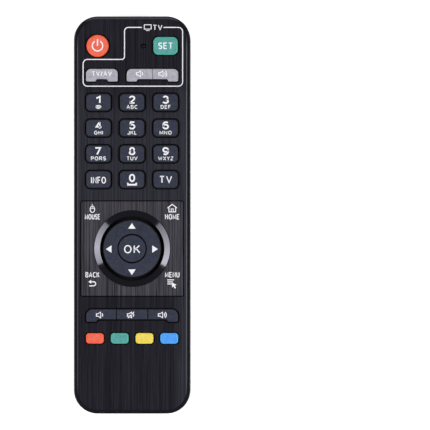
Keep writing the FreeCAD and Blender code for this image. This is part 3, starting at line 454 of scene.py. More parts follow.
def spark_texture():
    """Back of the case, door and latch: spark-eroded grain, plain in the thumb groove, with painted
    highlights and painted shade laid over it.
    """
    groove_shade_length = 10.0
    look = Look("spark_texture", specular=0.5, tint=srgb(228, 228, 250))
    grain = look.blend([(look.noise(0.7, detail=2.0, rough=0.6), 0.65),
                        (look.noise(1.6, detail=1.0, shift=4.0), 0.35)])
    # Steep flanks, painted darker as shade
    flanks = look.span(look.upright, -0.85, -0.6)
    nubs = look.span(look.z, BACK_Z - 0.05, BACK_Z - 0.15)
    groove, lip = thumb_groove(look)
    gap, shine = door_edges(look)
    slot = latch_gaps(look)
    # Painted shade: the thumb groove darkens from its middle towards its ends
    groove_ends = look.span(look.away(look.y, GROOVE_Y), 0.0, groove_shade_length)
    satin = look.tone(grain, srgb(9, 10, 17), srgb(23, 24, 34), 0.1)
    # Over the grain: painted shade on the flanks, painted highlight stripes, a painted highlight on the
    # groove's edge, the groove, painted highlights on the door's edge and in the recess, painted shade in
    # the gaps and slot, dark nubs
    colour = look.layers(look.tone(grain, srgb(5, 5, 10), srgb(20, 20, 30), 0.12), (
        (flanks, srgb(8, 8, 12)),
        (worn_edges(look), look.tone(grain, srgb(50, 50, 56), srgb(92, 92, 102), 0.12)),
        (lip, srgb(120, 122, 136)),
        (groove, look.mix(groove_ends, satin, srgb(6, 6, 9))),
        (shine, srgb(70, 70, 78)),
        (recess_crescents(look), srgb(128, 128, 142)),
        (look.either(gap, slot), PAINTED_SHADE_BLACK),
        (nubs, srgb(8, 8, 11))))
    roughness = look.either(look.polish(grain, 0.3, 0.46, 0.12), look.both(flanks, 0.9),
                            look.both(groove, 0.55), gap, slot)
    roughness = look.math("SUBTRACT", roughness, look.both(nubs, 0.2))
    bumps = look.both(grain, look.outside(look.either(nubs, groove)))
    return look.finish(colour, roughness, bumps, 0.4)


def polished_bezel():
    """Glossy ring: deep black with faint hairlines in its shine and a few specks of dust."""
    look = Look("polished_bezel", specular=0.5, tint=srgb(240, 239, 255), ior=1.56)
    hair = look.noise(0.35, detail=4.0, rough=0.7)
    dust = look.span(look.cells(1.4), 0.05, 0.0)
    colour = look.mix(dust, srgb(13, 13, 19), srgb(34, 34, 42))
    return look.finish(colour, look.polish(hair, 0.05, 0.13), hair, 0.001)


def power_mark(look):
    """Mask of the power mark, in the middle of its key."""
    low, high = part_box("key_power")
    middle = (low + high) / 2 / MM
    across = look.math("SUBTRACT", look.x, middle.x)
    along = look.math("SUBTRACT", look.y, middle.y)
    gap = look.both(look.within(across, 0.0, POWER_GAP_HALF_WIDTH), look.span(along, 0.0, 0.1))
    circle = look.within(look.reach(tuple(middle), (1, 1, 0)), POWER_RING_RADIUS, POWER_RING_HALF_WIDTH)
    bar = look.both(look.within(across, 0.0, POWER_BAR_HALF_WIDTH),
                    look.within(along, POWER_BAR_LIFT, POWER_BAR_HALF_LENGTH))
    on_top = look.span(look.upright, 0.5, 0.6)
    return look.both(look.either(look.both(circle, look.outside(gap)), bar), on_top)


def rubber(name, dark, light, rim, upper=None, mark=None):
    """Matt key: fine flecks, a painted rim that stands in for the light on its rounded edge, and painted
    shade where it stands in its hole.

    The ring key is given painted shade on its upper half, and the power key its mark.
    """
    upper_from, upper_to, upper_share = PLATE_Y - 3, PLATE_Y + 10, 0.28
    look = Look(name, specular=0.3)
    flecks = look.noise(0.3, detail=3.0, rough=0.6)
    cloud = look.noise(1.4, detail=2.0, shift=9.0)
    grain = look.blend([(flecks, 0.7), (cloud, 0.3)])
    colour = look.tone(grain, dark, light, 0.1)
    if upper:
        colour = look.mix(look.span(look.y, upper_from, upper_to, 0.0, upper_share), colour, upper)
    # Rounded rim: painted shade on the slate keys, painted highlight on the others
    rounded = look.both(look.span(look.upright, 0.985, 0.9), look.span(look.upright, 0.0, 0.1))
    # Sides down in the hole, painted near black as shade
    in_hole = look.span(look.z, FACE_Z + 0.15, FACE_Z - 0.1)
    colour = look.layers(colour, ((rounded, rim), (in_hole, PAINTED_SHADE_BLACK)))
    if mark:
        colour = look.mix(mark(look), colour, look.mix(grain, INK_DULL, INK_BRIGHT))
    return look.finish(colour, look.polish(grain, 0.5, 0.66, 0.15), grain, 0.02)


def infrared_window():
    """Smoked window that looks nearly black, with a red depth."""
    look = Look("infrared_window", specular=0.25, coat=0.1, coat_roughness=0.05)
    depth = look.noise((5, 2, 2), detail=1.0)
    hair = look.noise(0.4, detail=4.0, shift=2.0)
    colour = look.tone(depth, srgb(12, 5, 9), srgb(26, 8, 14))
    return look.finish(colour, look.polish(hair, 0.08, 0.16), hair, 0.001)


def solder_mask():
    """Circuit board: green mask over copper tracks, bare pads and a dark guard ring."""
    look = Look("solder_mask", specular=0.5, coat=0.2, coat_roughness=0.2)
    brick = look.tree.nodes.new("ShaderNodeTexBrick")
    look.wire(look.vector("MULTIPLY", look.place, (0.5, 0.5, 0.0)), brick.inputs["Vector"])
    brick.inputs["Scale"].default_value = 1.0
    brick.inputs["Mortar Size"].default_value = 0.06
    brick.inputs["Brick Width"].default_value = 4.0
    brick.inputs["Row Height"].default_value = 0.75
    tracks = brick.outputs["Fac"]
    cloud = look.noise(2.5, detail=2.0)
    pads = look.span(look.cells(3.1), 0.11, 0.08)
    guard = look.within(look.reach((0, PLATE_Y, 0), (1, 1, 0)), GUARD_RADIUS, GUARD_WIDTH / 2)
    colour = look.layers(look.tone(cloud, srgb(28, 92, 50), srgb(36, 108, 60)), (
        (tracks, srgb(62, 140, 84)),
        (pads, srgb(205, 190, 140)),
        (guard, srgb(14, 14, 15))))
    return look.finish(colour, look.polish(cloud, 0.3, 0.42), tracks, 0.03)


def capacitor_can():
    """Sleeved can with a bare top, which hangs down from the board."""
    look = Look("capacitor_can", specular=0.5)
    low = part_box("capacitor")[0].z / MM
    top = look.span(look.z, low + 0.55, low + 0.5)
    grain = look.noise((3, 3, 0.4), detail=2.0)
    colour = look.mix(top, look.tone(grain, srgb(24, 28, 58), srgb(34, 40, 76)), srgb(190, 192, 196))
    return look.finish(colour, look.polish(grain, 0.25, 0.4), grain, 0.01)


def cell_sleeve():
    """Battery cells: dark sleeve with a light band, bare metal at both ends."""
    look = Look("cell_sleeve", specular=0.5)
    low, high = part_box("battery_cell_left")
    half = (high.y - low.y) / 2 / MM
    from_middle = look.away(look.y, (low.y + high.y) / 2 / MM)
    bare = look.span(from_middle, half - CELL_BARE, half - CELL_BARE + 0.1)
    band = look.both(look.span(from_middle, half - CELL_BAND, half - CELL_BAND + 0.2),
                     look.span(from_middle, half - CELL_BAND + 0.2, half - CELL_BARE - 0.1, 1.0, 0.7))
    grain = look.noise(0.5, detail=2.0)
    colour = look.layers(look.tone(grain, srgb(58, 62, 66), srgb(68, 72, 77)), (
        (band, srgb(150, 155, 158)),
        (bare, srgb(200, 200, 196))))
    return look.finish(colour, look.polish(grain, 0.25, 0.36), grain, 0.004)


def metal(name, size, dark, light, roughness):
    """Bare metal with a fine grain, drawn out into lines where its sizes differ."""
    return plain(name, size, dark, light, roughness, 0.004, detail=3.0, rough=0.6, metallic=1.0)


def lamp_epoxy(name, shade, deep, clear):
    """Cast epoxy of a small lamp."""
    return plain(name, 1.1, shade, deep, (0.06, 0.14), 0.002, specular=0.5, clear=clear)


def ink_look(name, dull, bright):
    """Screen-printed ink, slightly uneven."""
    return plain(name, 0.2, dull, bright, (0.45, 0.6), 0.004, detail=3.0, specular=0.3)


def key_looks():
    """Rubber of the keys and of the mat under them."""
    # Dark and light tone of each rubber, then its rim: painted shade on slate, painted highlight on the
    # others
    dark_light_and_rim = {
        "slate_rubber": (srgb(32, 36, 51), srgb(52, 56, 75), srgb(16, 17, 22)),
        "silver_rubber": (srgb(150, 149, 160), srgb(186, 185, 196), srgb(176, 174, 184)),
        "red_rubber": (srgb(229, 86, 58), srgb(240, 118, 97), srgb(252, 96, 56)),
        "green_rubber": (srgb(66, 145, 140), srgb(97, 171, 166), srgb(76, 184, 154)),
        "yellow_rubber": (srgb(226, 200, 78), srgb(242, 220, 106), srgb(250, 230, 72)),
        "blue_rubber": (srgb(60, 144, 236), srgb(88, 166, 250), srgb(86, 182, 255)),
    }
    looks = {name: rubber(name, *shades) for name, shades in dark_light_and_rim.items()}
    slate, red = dark_light_and_rim["slate_rubber"], dark_light_and_rim["red_rubber"]
    # The ring key's upper half is painted darker as shade
    looks["ring_rubber"] = rubber("ring_rubber", *slate, upper=srgb(27, 29, 40))
    looks["coral_rubber"] = rubber("coral_rubber", *red, mark=power_mark)
    looks["mat_rubber"] = plain("mat_rubber", 0.6, srgb(9, 9, 12), srgb(17, 17, 21), (0.55, 0.7), 0.02,
                                detail=3.0, specular=0.2)
    return looks


def case_looks():
    """Plastics of the case, the corner plate and the ring's bezel."""
    return {
        "face_plastic": brushed_face(),
        "case_plastic": spark_texture(),
        "plate_plastic": brushed_plate(),
        "bezel_gloss": polished_bezel(),
        "window_plastic": infrared_window(),
    }


def inner_looks():
    """Board, its parts, the cells and their contacts."""
    return {
        "board": solder_mask(),
        "carbon": plain("carbon", 0.15, srgb(26, 26, 28), srgb(48, 48, 50), (0.6, 0.8), 0.02,
                        specular=0.3),
        "steel": metal("steel", 0.3, srgb(150, 150, 152), srgb(196, 196, 198), (0.25, 0.4)),
        "contact_metal": metal("contact_metal", (0.2, 3, 3), srgb(186, 186, 180), srgb(222, 221, 214),
                               (0.15, 0.28)),
        "chip_plastic": plain("chip_epoxy", 0.12, srgb(26, 26, 29), srgb(44, 44, 48), (0.5, 0.7), 0.02,
                              specular=0.4),
        "capacitor_can": capacitor_can(),
        "clear_lamp": lamp_epoxy("clear_lamp", srgb(200, 208, 236), srgb(180, 190, 226), 0.6),
        "dark_lamp": lamp_epoxy("dark_lamp", srgb(20, 12, 24), srgb(30, 18, 34), 0.0),
        "red_lamp": lamp_epoxy("red_lamp", srgb(16, 9, 12), srgb(30, 13, 16), 0.0),
        "cell_can": cell_sleeve(),
    }


def dress_nodes():
    """Give every node its materials by the slot names it came with, and the ring key its own."""
    looks = {**case_looks(), **key_looks(), **inner_looks()}
    for node in NODES.values():
        for number, slot in enumerate(node.material_slots):
            name = slot.material.name.split(".")[0]
            node.data.materials[number] = looks[name]
    NODES["nav_ring"].data.materials[0] = looks["ring_rubber"]


def oval(x, y, wide, tall, start, end, steps=16):
    """Points on an ellipse, with half its width and height, between two angles in degrees."""
    angles = [math.radians(start + (end - start) * i / steps) for i in range(steps + 1)]
    return [(x + wide * math.cos(angle), y + tall * math.sin(angle)) for angle in angles]


# Middle lines of plain sans-serif letters: the width of each, then its strokes, in a cell 1 tall
LETTER_SPACE = 0.42
SIX = [oval(0.29, 0.31, 0.29, 0.31, 0, 360), oval(0.32, 0.5, 0.32, 0.5, 50, 180) + [(0, 0.31)]]
BOWL = [(0, 0), (0, 1), (0.38, 1)] + oval(0.38, 0.73, 0.27, 0.27, 90, -90) + [(0, 0.46)]
ROUND = oval(0.42, 0.5, 0.42, 0.5, 0, 360, 24)
LETTERS = {
    "0": (0.56, [oval(0.28, 0.5, 0.28, 0.5, 0, 360, 24)]),
    "1": (0.34, [[(0, 0.7), (0.34, 0.98), (0.34, 0)]]),
    "2": (0.58, [oval(0.29, 0.71, 0.28, 0.29, 170, -38) + [(0.04, 0.02)], [(0, 0), (0.58, 0)]]),
    "3": (0.56, [oval(0.27, 0.745, 0.25, 0.255, 160, -90), oval(0.27, 0.25, 0.29, 0.25, 90, -160)]),
    "4": (0.62, [[(0.41, 0), (0.41, 1)], [(0.36, 0.97), (0.0, 0.27), (0.62, 0.27)]]),
    "5": (0.57, [[(0.54, 1), (0.13, 1), (0.06, 0.5)], oval(0.28, 0.32, 0.29, 0.32, 145, -155)]),
    "6": (0.58, SIX),
    "7": (0.58, [[(0, 1), (0.57, 1), (0.2, 0)]]),
    "8": (0.58, [oval(0.29, 0.755, 0.24, 0.245, 0, 360), oval(0.29, 0.26, 0.29, 0.26, 0, 360)]),
    "9": (0.58, [[(0.58 - x, 1 - y) for x, y in line] for line in SIX]),
    "A": (0.84, [[(0, 0), (0.42, 1), (0.84, 0)], [(0.16, 0.32), (0.68, 0.32)]]),
    "B": (0.66, [[(0, 0), (0, 1), (0.36, 1)] + oval(0.36, 0.77, 0.25, 0.23, 90, -90) + [(0, 0.54)],
                 [(0.36, 0.54)] + oval(0.38, 0.27, 0.28, 0.27, 90, -90) + [(0, 0)]]),
    "C": (0.76, [oval(0.42, 0.5, 0.42, 0.5, 48, 312)]),
    "D": (0.72, [[(0, 0), (0, 1), (0.28, 1)] + oval(0.28, 0.5, 0.44, 0.5, 90, -90) + [(0, 0)]]),
    "E": (0.58, [[(0.58, 1), (0, 1), (0, 0), (0.58, 0)], [(0, 0.52), (0.52, 0.52)]]),
    "F": (0.54, [[(0.54, 1), (0, 1), (0, 0)], [(0, 0.52), (0.46, 0.52)]]),
    "G": (0.8, [oval(0.42, 0.5, 0.42, 0.5, 48, 340) + [(0.82, 0.46), (0.48, 0.46)]]),
    "H": (0.68, [[(0, 0), (0, 1)], [(0.68, 0), (0.68, 1)], [(0, 0.52), (0.68, 0.52)]]),
    "I": (0.0, [[(0, 0), (0, 1)]]),
    "J": (0.48, [oval(0.24, 0.26, 0.24, 0.26, 180, 360) + [(0.48, 1)]]),
    "K": (0.7, [[(0, 0), (0, 1)], [(0.66, 1), (0, 0.36)], [(0.25, 0.6), (0.7, 0)]]),
    "L": (0.54, [[(0, 1), (0, 0), (0.54, 0)]]),
    "M": (0.84, [[(0, 0), (0, 1), (0.42, 0.2), (0.84, 1), (0.84, 0)]]),
    "N": (0.7, [[(0, 0), (0, 1), (0.7, 0), (0.7, 1)]]),
    "O": (0.84, [ROUND]),
    "P": (0.65, [BOWL]),
    "Q": (0.86, [ROUND, [(0.5, 0.28), (0.86, -0.04)]]),
    "R": (0.7, [BOWL, [(0.36, 0.46), (0.7, 0)]]),
    "S": (0.62, [oval(0.31, 0.75, 0.29, 0.25, 25, 270) + oval(0.31, 0.25, 0.31, 0.25, 90, -155)]),
    "T": (0.7, [[(0, 1), (0.7, 1)], [(0.35, 1), (0.35, 0)]]),
    "U": (0.7, [[(0, 1)] + oval(0.35, 0.34, 0.35, 0.34, 180, 360) + [(0.7, 1)]]),
    "V": (0.8, [[(0, 1), (0.4, 0), (0.8, 1)]]),
    "W": (1.16, [[(0, 1), (0.29, 0), (0.58, 0.8), (0.87, 0), (1.16, 1)]]),
    "X": (0.74, [[(0, 1), (0.74, 0)], [(0, 0), (0.74, 1)]]),
    "Y": (0.76, [[(0, 1), (0.38, 0.48), (0.76, 1)], [(0.38, 0.48), (0.38, 0)]]),
    "Z": (0.66, [[(0, 1), (0.66, 1), (0, 0), (0.66, 0)]]),
    "/": (0.36, [[(0, -0.04), (0.36, 1.04)]]),
    "@": (1.0, [oval(0.5, 0.5, 0.2, 0.22, 0, 360), oval(0.5, 0.5, 0.5, 0.5, -60, -360) + [(0.86, 0.2)]]),
}


class Ink:
    """Flat printed marks on one surface, gathered in one thin mesh. Sizes are in millimetres.

    Marks are given from a place that can be moved, and those for the back as someone who looks at
    the back sees them.
    """

    def __init__(self, surface_z, on_back=False):
        self.mesh = bmesh.new()
        self.way = -1 if on_back else 1
        self.low = surface_z - self.way * INK_SUNK
        self.high = surface_z + self.way * INK_PROUD
        self.x = 0.0
        self.y = 0.0

    def move(self, x, y):
        """Give the next marks from another place."""
        self.x = x
        self.y = y

    def point(self, x, y, z):
        """New corner of the mesh."""
        return self.mesh.verts.new((self.way * (self.x + x) * MM, (self.y + y) * MM, z * MM))

    def patch(self, points):
        """Filled outline."""
        under = [self.point(x, y, self.low) for x, y in points]
        over = [self.point(x, y, self.high) for x, y in points]
        self.mesh.faces.new(over)
        self.mesh.faces.new(under[::-1])
        count = len(points)
        for i in range(count):
            j = (i + 1) % count
            self.mesh.faces.new((under[i], under[j], over[j], over[i]))

    def bar(self, x0, x1, y0, y1):
        """Filled rectangle."""
        self.patch([(x0, y0), (x1, y0), (x1, y1), (x0, y1)])

    def band(self, left, right, closed):
        """Strip between two lines of equal length."""
        count = len(left)
        columns = []
        for (ax, ay), (bx, by) in zip(left, right):
            columns.append([self.point(ax, ay, self.low), self.point(bx, by, self.low),
                            self.point(bx, by, self.high), self.point(ax, ay, self.high)])
        for i in range(count if closed else count - 1):
            a, b = columns[i], columns[(i + 1) % count]
            for k in range(4):
                m = (k + 1) % 4
                self.mesh.faces.new((a[k], a[m], b[m], b[k]))
        if not closed:
            self.mesh.faces.new(columns[0][::-1])
            self.mesh.faces.new(columns[-1])

    def stroke(self, points, width):
        """Line of even width with mitred corners; one that ends where it starts is closed."""
        line = [Vector(points[0])]
        for point in points[1:]:
            if (Vector(point) - line[-1]).length > SAME_PLACE:
                line.append(Vector(point))
        closed = (line[0] - line[-1]).length < SAME_PLACE
        if closed:
            line.pop()
        count = len(line)
        left, right = [], []
        for i, here in enumerate(line):
            into = out = None
            if closed or i > 0:
                into = (here - line[i - 1]).normalized()
            if closed or i < count - 1:
                out = (line[(i + 1) % count] - here).normalized()
            into, out = into or out, out or into
            bisector = (into + out).normalized()
            side = Vector((-bisector.y, bisector.x))
            reach = width / 2 / max(SHARPEST_MITRE, bisector.dot(into))
            left.append(tuple(here + side * reach))
            right.append(tuple(here - side * reach))
        self.band(left, right, closed)

    def text(self, words, height, width, pen, x=0.0, y=0.0):
        """Words in plain strokes, centred on x and y, as tall and as wide as asked."""
        lines = []
        end = -LETTER_SPACE
        for letter in words:
            wide, strokes = LETTERS[letter]
            start = end + LETTER_SPACE
            lines += [[(start + px, py) for px, py in stroke] for stroke in strokes]
            end = start + wide
        grow_x = (width - pen) / end
        grow_y = height - pen
        for line in lines:
            self.stroke([(x + (px - end / 2) * grow_x, y + (py - 0.5) * grow_y) for px, py in line], pen)

    def finish(self, name, body, material):
        """Make the piece and let it ride on its body."""
        bmesh.ops.recalc_face_normals(self.mesh, faces=self.mesh.faces)
        data = bpy.data.meshes.new(name)
        self.mesh.to_mesh(data)
        self.mesh.free()
        data.materials.append(material)
        piece = bpy.data.objects.new(name, data)
        bpy.context.scene.collection.objects.link(piece)
        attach(piece, body)


def key_ink(node):
    """Ink on the flat top of a node, given from the middle of that node."""
    low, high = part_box(node)
    ink = Ink(high.z / MM)
    ink.move((low.x + high.x) / 2 / MM, (low.y + high.y) / 2 / MM)
    return ink


def print_number_keys(white):
    """Large digit with small letters under it on each number key, and the sign of a space under 0."""
    digit_height, digit_pen, digit_lift = 3.4, 0.66, 1.1
    small_height, small_pen, small_lift = 1.65, 0.3, -1.95
    for digit, digit_width, shift, small, small_width in (
            ("1", 2.1, -0.15, "@", 2.4), ("2", 2.7, 0.0, "ABC", 4.7), ("3", 2.7, 0.0, "DEF", 4.2),
            ("4", 2.9, 0.15, "GHI", 3.7), ("5", 2.7, 0.0, "JKL", 3.9), ("6", 2.7, 0.0, "MNO", 5.1),
            ("7", 2.8, -0.25, "PQRS", 6.3), ("8", 2.7, 0.0, "TUV", 4.6), ("9", 2.7, 0.0, "WXYZ", 6.4)):
        node = "key_" + digit
        ink = key_ink(node)
        ink.text(digit, digit_height, digit_width, digit_pen, shift, digit_lift)
        ink.text(small, small_height, small_width, small_pen, y=small_lift)
        ink.finish("print_" + node, BODY_OF_NODE[node], white)
    ink = key_ink("key_0")
    ink.text("0", digit_height, 2.6, digit_pen, y=0.65)
    ink.patch([(-2.05, -2.55), (2.05, -2.55), (2.05, -1.35), (1.6, -1.35),
               (1.3, -1.85), (-1.3, -1.85), (-1.6, -1.35), (-2.05, -1.35)])
    ink.finish("print_key_0", BODY_OF_NODE["key_0"], white)


def print_word_keys(white):
    """Plain words on the keys that carry them: height, width, pen and lift of each."""
    for node, word, height, width, pen, lift in (
            ("key_info", "INFO", 2.9, 6.3, 0.42, -0.3), ("key_tv", "TV", 3.1, 5.4, 0.5, 0.0),
            ("key_settings", "SET", 2.8, 6.2, 0.48, 0.0), ("key_tv_av", "TV/AV", 2.0, 8.4, 0.4, 0.65),
            ("key_ok", "OK", 3.5, 6.8, 0.5, -0.25)):
        ink = key_ink(node)
        ink.text(word, height, width, pen, y=lift)
        ink.finish("print_" + node, BODY_OF_NODE[node], white)


def draw_speaker(ink, waves):
    """Loudspeaker outline with sound waves."""
    pen = 0.36
    mouth_x, first_wave, wave_pitch = 0.3, 0.85, 0.7
    ink.stroke([(-1.5, -0.5), (-0.8, -0.5), (mouth_x, -1.2), (mouth_x, 1.2),
                (-0.8, 0.5), (-1.5, 0.5), (-1.5, -0.5)], pen)
    for number in range(waves):
        reach = first_wave + wave_pitch * number
        ink.stroke(oval(mouth_x, 0, reach, reach, -48, 48, 10), pen)


def print_speakers(white):
    """Loudspeaker marks on the volume keys, the one on the mute key crossed out."""
    for node, x, lift, waves in (
            ("key_tv_volume_down", 3.3, 0.55, 1), ("key_tv_volume_up", 12.7, 0.55, 2),
            ("key_volume_down", -13.5, 0.25, 1), ("key_mute", -0.5, 0.25, 1),
            ("key_volume_up", 12.5, 0.25, 2)):
        ink = key_ink(node)
        ink.move(x, ink.y + lift)
        draw_speaker(ink, waves)
        if node == "key_mute":
            ink.stroke([(-1.2, -1.3), (1.3, 1.3)], 0.4)
        ink.finish("print_" + node, BODY_OF_NODE[node], white)


def print_arrows(white):
    """Four triangles on the ring key."""
    tip, foot, half_width = 10.9, 8.55, 1.55
    ink = Ink(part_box("nav_ring")[1].z / MM)
    ink.move(-0.1, PLATE_Y - 0.2)
    for quarter in range(4):
        along = Vector((math.cos(quarter * math.pi / 2), math.sin(quarter * math.pi / 2)))
        across = Vector((-along.y, along.x)) * half_width
        ink.patch([tuple(along * tip), tuple(along * foot + across), tuple(along * foot - across)])
    ink.finish("print_nav_ring", BODY_OF_NODE["nav_ring"], white)


def draw_mouse(ink):
    """Pointing device with two buttons and a cord."""
    ink.stroke(oval(0, 0, 0.95, 1.35, 0, 360, 24), 0.34)
    ink.stroke([(-0.85, 0.35), (0.85, 0.35)], 0.28)
    ink.stroke([(0, 0.35), (0, 2.2)], 0.28)


def draw_house(ink):
    """House outline with a door."""
    ink.stroke([(-2.0, 0.15), (0, 1.75), (2.0, 0.15)], 0.38)
    ink.stroke([(-1.4, 0.4), (-1.4, -1.45), (1.4, -1.45), (1.4, 0.4)], 0.38)
    ink.stroke([(-0.45, -1.3), (-0.45, -0.2), (0.45, -0.2), (0.45, -1.3)], 0.32)


def draw_return(ink):
    """Arrow that turns back."""
    turn = oval(0.55, 0, 0.85, 0.85, 90, -90, 12)
    ink.stroke([(-0.6, 0.85)] + turn + [(-1.3, -0.85)], 0.42)
    ink.patch([(-1.7, 0.85), (-0.5, 0.05), (-0.5, 1.65)])


def draw_list(ink):
    """List of three lines, each shorter than the one above, with a pointer."""
    row_pitch, row_width, shorter = 0.85, 0.4, 0.5
    for row in range(3):
        low = 1.15 - row_pitch * row
        ink.bar(-1.9, 0.9 - shorter * row, low, low + row_width)
    ink.patch([(-0.1, 0.3), (2.0, -0.8), (1.15, -1.05), (1.75, -2.0),
               (1.2, -2.3), (0.65, -1.35), (0.1, -1.9)])


def print_plate(white):
    """Picture and plain word in each of the plate's corners."""
    word_height = 2.3
    ink = Ink(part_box("corner_plate")[1].z / MM)
    for draw, picture_x, picture_y, word, word_x, word_y, width, pen in (
            (draw_mouse, -16.7, 2.4, "MOUSE", -16.65, -0.75, 6.4, 0.34),
            (draw_house, 16.85, 2.75, "HOME", 16.85, -0.75, 6.1, 0.36),
            (draw_return, -16.7, -28.9, "BACK", -16.65, -25.1, 5.9, 0.36),
            (draw_list, 16.7, -28.6, "MENU", 16.85, -25.1, 6.1, 0.36)):
        ink.move(picture_x, picture_y)
        draw(ink)
        ink.move(word_x, word_y)
        ink.text(word, word_height, width, pen)
    ink.finish("print_corner_plate", BODY_OF_NODE["corner_plate"], white)


def rounded_path(corners, radii, steps=6):
    """Line through corners that turn by right angles, with an arc of its own radius at each inner one."""
    path = [corners[0]]
    for i, radius in enumerate(radii, 1):
        here = Vector(corners[i])
        back = (Vector(corners[i - 1]) - here).normalized()
        ahead = (Vector(corners[i + 1]) - here).normalized()
        centre = here + (back + ahead) * radius
        for k in range(steps + 1):
            angle = math.pi / 2 * k / steps
            path.append(tuple(centre - (ahead * math.cos(angle) + back * math.sin(angle)) * radius))
    path.append(corners[-1])
    return path


def print_frame(white):
    """Thin white frame round the television keys, with a small screen and its word in a gap."""
    left, step_x, right = -20.6, -3.2, 21.2
    low, step_y, high = 54.1, 65.35, 78.8
    gap_left, gap_right = 4.1, 13.2
    screen = [(5.1, 78.1), (8.0, 78.1), (8.0, 79.9), (5.1, 79.9), (5.1, 78.1)]
    corners = [(gap_left, high), (step_x, high), (step_x, step_y), (left, step_y), (left, low),
               (right, low), (right, high), (gap_right, high)]
    radii = (1.6, 1.2, 1.8, 1.8, 1.8, 1.8)
    ink = Ink(FACE_Z)
    ink.stroke(rounded_path(corners, radii), 0.4)
    ink.stroke(screen, 0.32)
    ink.bar(5.8, 7.3, 77.35, 77.65)
    ink.text("TV", 2.3, 4.0, 0.38, 10.7, 78.75)
    ink.finish("print_frame", "root", white)


# Plain marks in place of printed text: bars as left, right, low and high in a cell 1 by 1
MARKS = (
    ((0.0, 1.0, 0.05, 0.24), (0.2, 0.8, 0.42, 0.6), (0.0, 1.0, 0.78, 0.96)),
    ((0.05, 0.27, 0.0, 1.0), (0.45, 1.0, 0.1, 0.32), (0.45, 0.9, 0.62, 0.84)),
    ((0.1, 0.34, 0.0, 1.0), (0.6, 0.84, 0.1, 0.9)),
    ((0.0, 1.0, 0.76, 0.98), (0.1, 0.36, 0.0, 0.6), (0.62, 0.86, 0.0, 0.6)),
    ((0.1, 0.5, 0.0, 0.24),),
    ((0.0, 0.9, 0.1, 0.3), (0.3, 0.56, 0.45, 1.0), (0.72, 0.96, 0.5, 0.8)),
    ((0.0, 0.24, 0.2, 0.8), (0.38, 0.6, 0.0, 1.0), (0.76, 1.0, 0.2, 0.8)),
)


def print_marks(ink, left, y, size, pitch, count, first):
    """Row of plain marks, centred on a height."""
    for place in range(count):
        x = left + place * pitch
        kind = (first + place * place + 3 * place) % len(MARKS)
        for x0, x1, y0, y1 in MARKS[kind]:
            ink.bar(x + x0 * size, x + x1 * size, y + (y0 - 0.5) * size, y + (y1 - 0.5) * size)


def print_back(grey):
    """Title and numbered block of plain marks where a remote carries its instructions."""
    title_left, title_y, title_size, title_pitch, title_count = -9.3, 70.2, 1.8, 2.43, 8
    left, top_y, size, pitch, line_pitch, full_count = -11.05, 67.2, 1.5, 2.07, 1.944, 12
    number_x, number_height, number_pen = -12.9, 1.35, 0.24
    lines_and_last_count = ((4, 11), (3, 5), (3, 8), (4, 4), (2, 11), (3, 11))
    ink = Ink(BACK_Z, on_back=True)
    print_marks(ink, title_left, title_y, title_size, title_pitch, title_count, 3)
    y = top_y
    for number, (lines, last_count) in enumerate(lines_and_last_count, 1):
        number_width = 0.5 if number == 1 else 0.85
        ink.text(str(number), number_height, number_width, number_pen, number_x, y)
        for line in range(lines):
            count = last_count if line == lines - 1 else full_count
            print_marks(ink, left, y, size, pitch, count, 2 * number + 5 * line)
            y -= line_pitch
    ink.finish("print_back", "root", grey)


def print_all():
    """All printed ink: white on the face and its keys, grey on the back."""
    white = ink_look("white_ink", INK_DULL, INK_BRIGHT)
    grey = ink_look("grey_ink", srgb(156, 161, 172), srgb(188, 193, 205))
    print_number_keys(white)
    print_word_keys(white)
    print_speakers(white)
    print_arrows(white)
    print_plate(white)
    print_frame(white)
    print_back(grey)


def add_floor():
    """White floor, which brightens a little for the camera so that it stays white.

    It brightens more far away, where no lamp reaches it, so that the horizon doesn't show. Half its
    width is in metres, and the distances are in millimetres.
    """
    half = 12.0
    near, far = 300.0, 2500.0
    near_glow, far_glow = 0.55, 1.0
    data = bpy.data.meshes.new("floor")
    data.from_pydata([(-half, -half, 0), (half, -half, 0), (half, half, 0), (-half, half, 0)],
                     [], [(0, 1, 2, 3)])
    floor = bpy.data.objects.new("floor", data)
    bpy.context.scene.collection.objects.link(floor)
    look = Look("floor_white", specular=0.1)
    path = look.tree.nodes.new("ShaderNodeLightPath")
    seen = look.either(path.outputs["Is Camera Ray"], path.outputs["Is Glossy Ray"],
                       path.outputs["Is Transmission Ray"])
    glow = look.span(look.vector("LENGTH", look.place), near, far, near_glow, far_glow)
    look.shader.inputs["Emission Color"].default_value = (1, 1, 1, 1)
    look.wire(look.both(seen, glow), look.shader.inputs["Emission Strength"])
    grain = look.noise(40.0, detail=1.0)
    colour = look.tone(grain, srgb(236, 236, 236), srgb(240, 240, 240))
    data.materials.append(look.finish(colour, 0.9))


def add_world():
    """World that is white at the horizon and dim overhead, as a studio with a dark ceiling is."""
    white_below, dim_above = 0.02, 0.22
    white, dim = (1, 1, 1, 1), (0.15, 0.15, 0.155, 1)
    world = bpy.data.worlds.new("studio")
    bpy.context.scene.world = world
    world.use_nodes = True
    tree = world.node_tree
    background = tree.nodes["Background"]
    background.inputs["Strength"].default_value = 1.0
    coordinates = tree.nodes.new("ShaderNodeTexCoord")
    split = tree.nodes.new("ShaderNodeSeparateXYZ")
    tree.links.new(coordinates.outputs["Generated"], split.inputs[0])
    height = tree.nodes.new("ShaderNodeMapRange")
    height.interpolation_type = "SMOOTHSTEP"
    height.inputs["From Min"].default_value = white_below
    height.inputs["From Max"].default_value = dim_above
    tree.links.new(split.outputs["Z"], height.inputs["Value"])
    mix = tree.nodes.new("ShaderNodeMix")
    mix.data_type = "RGBA"
    mix.inputs[6].default_value = white
    mix.inputs[7].default_value = dim
    tree.links.new(height.outputs["Result"], mix.inputs["Factor"])
    tree.links.new(mix.outputs[2], background.inputs["Color"])


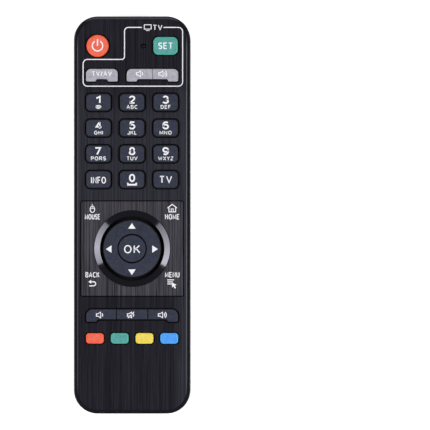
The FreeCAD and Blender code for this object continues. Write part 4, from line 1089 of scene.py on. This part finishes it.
def fade_across(tree, peak, bright, dim):
    """Let a flat lamp be brightest at the peak, a share of its width, and fade away from it."""
    place = tree.nodes.new("ShaderNodeNewGeometry")
    across = tree.nodes.new("ShaderNodeSeparateXYZ")
    tree.links.new(place.outputs["Parametric"], across.inputs[0])
    offset = tree.nodes.new("ShaderNodeMath")
    offset.operation = "SUBTRACT"
    offset.inputs[1].default_value = peak
    tree.links.new(across.outputs["X"], offset.inputs[0])
    distance = tree.nodes.new("ShaderNodeMath")
    distance.operation = "ABSOLUTE"
    tree.links.new(offset.outputs[0], distance.inputs[0])
    fade = tree.nodes.new("ShaderNodeMapRange")
    fade.inputs["To Min"].default_value = bright
    fade.inputs["To Max"].default_value = dim
    tree.links.new(distance.outputs[0], fade.inputs["Value"])
    tree.links.new(fade.outputs["Result"], tree.nodes["Emission"].inputs["Strength"])


def add_softbox(name, azimuth, peak, bright, dim):
    """Flat lamp that faces the ring key from an azimuth and from an angle off the vertical."""
    polar, distance = 44, 1.2
    width, height = 1.1, 0.36
    radiance = 8.5
    data = bpy.data.lights.new(name, "AREA")
    data.shape = "RECTANGLE"
    data.size = width
    data.size_y = height
    data.energy = radiance * math.pi * width * height
    data.use_nodes = True
    fade_across(data.node_tree, peak, bright, dim)
    lamp = bpy.data.objects.new(name, data)
    around, down = math.radians(azimuth), math.radians(polar)
    way = Vector((math.sin(down) * math.cos(around), math.sin(down) * math.sin(around), math.cos(down)))
    lamp.location = Vector((0, PLATE_Y * MM, FACE_Z * MM)) + way * distance
    lamp.rotation_mode = "QUATERNION"
    lamp.rotation_quaternion = way.to_track_quat("Z", "Y")
    bpy.context.scene.collection.objects.link(lamp)


def add_lamps():
    """A wide softbox at each side."""
    add_softbox("softbox_right", azimuth=-10.6, peak=0.6, bright=1.24, dim=0.0)
    add_softbox("softbox_left", azimuth=188.1, peak=0.1, bright=1.42, dim=0.28)


def add_camera():
    """Long lens straight above, with the remote at the left of the frame."""
    lens, sensor = 300.0, 36.0
    frame_width = 180.6 * MM
    frame_middle_x = 34.8 * MM
    data = bpy.data.cameras.new("camera")
    data.lens = lens
    data.sensor_width = sensor
    camera = bpy.data.objects.new("camera", data)
    camera.location = (frame_middle_x, 0, FACE_Z * MM + frame_width * lens / sensor)
    bpy.context.scene.collection.objects.link(camera)
    bpy.context.scene.camera = camera


bpy.context.scene.view_settings.view_transform = "Standard"
dress_nodes()
print_all()
add_floor()
add_world()
add_lamps()
add_camera()
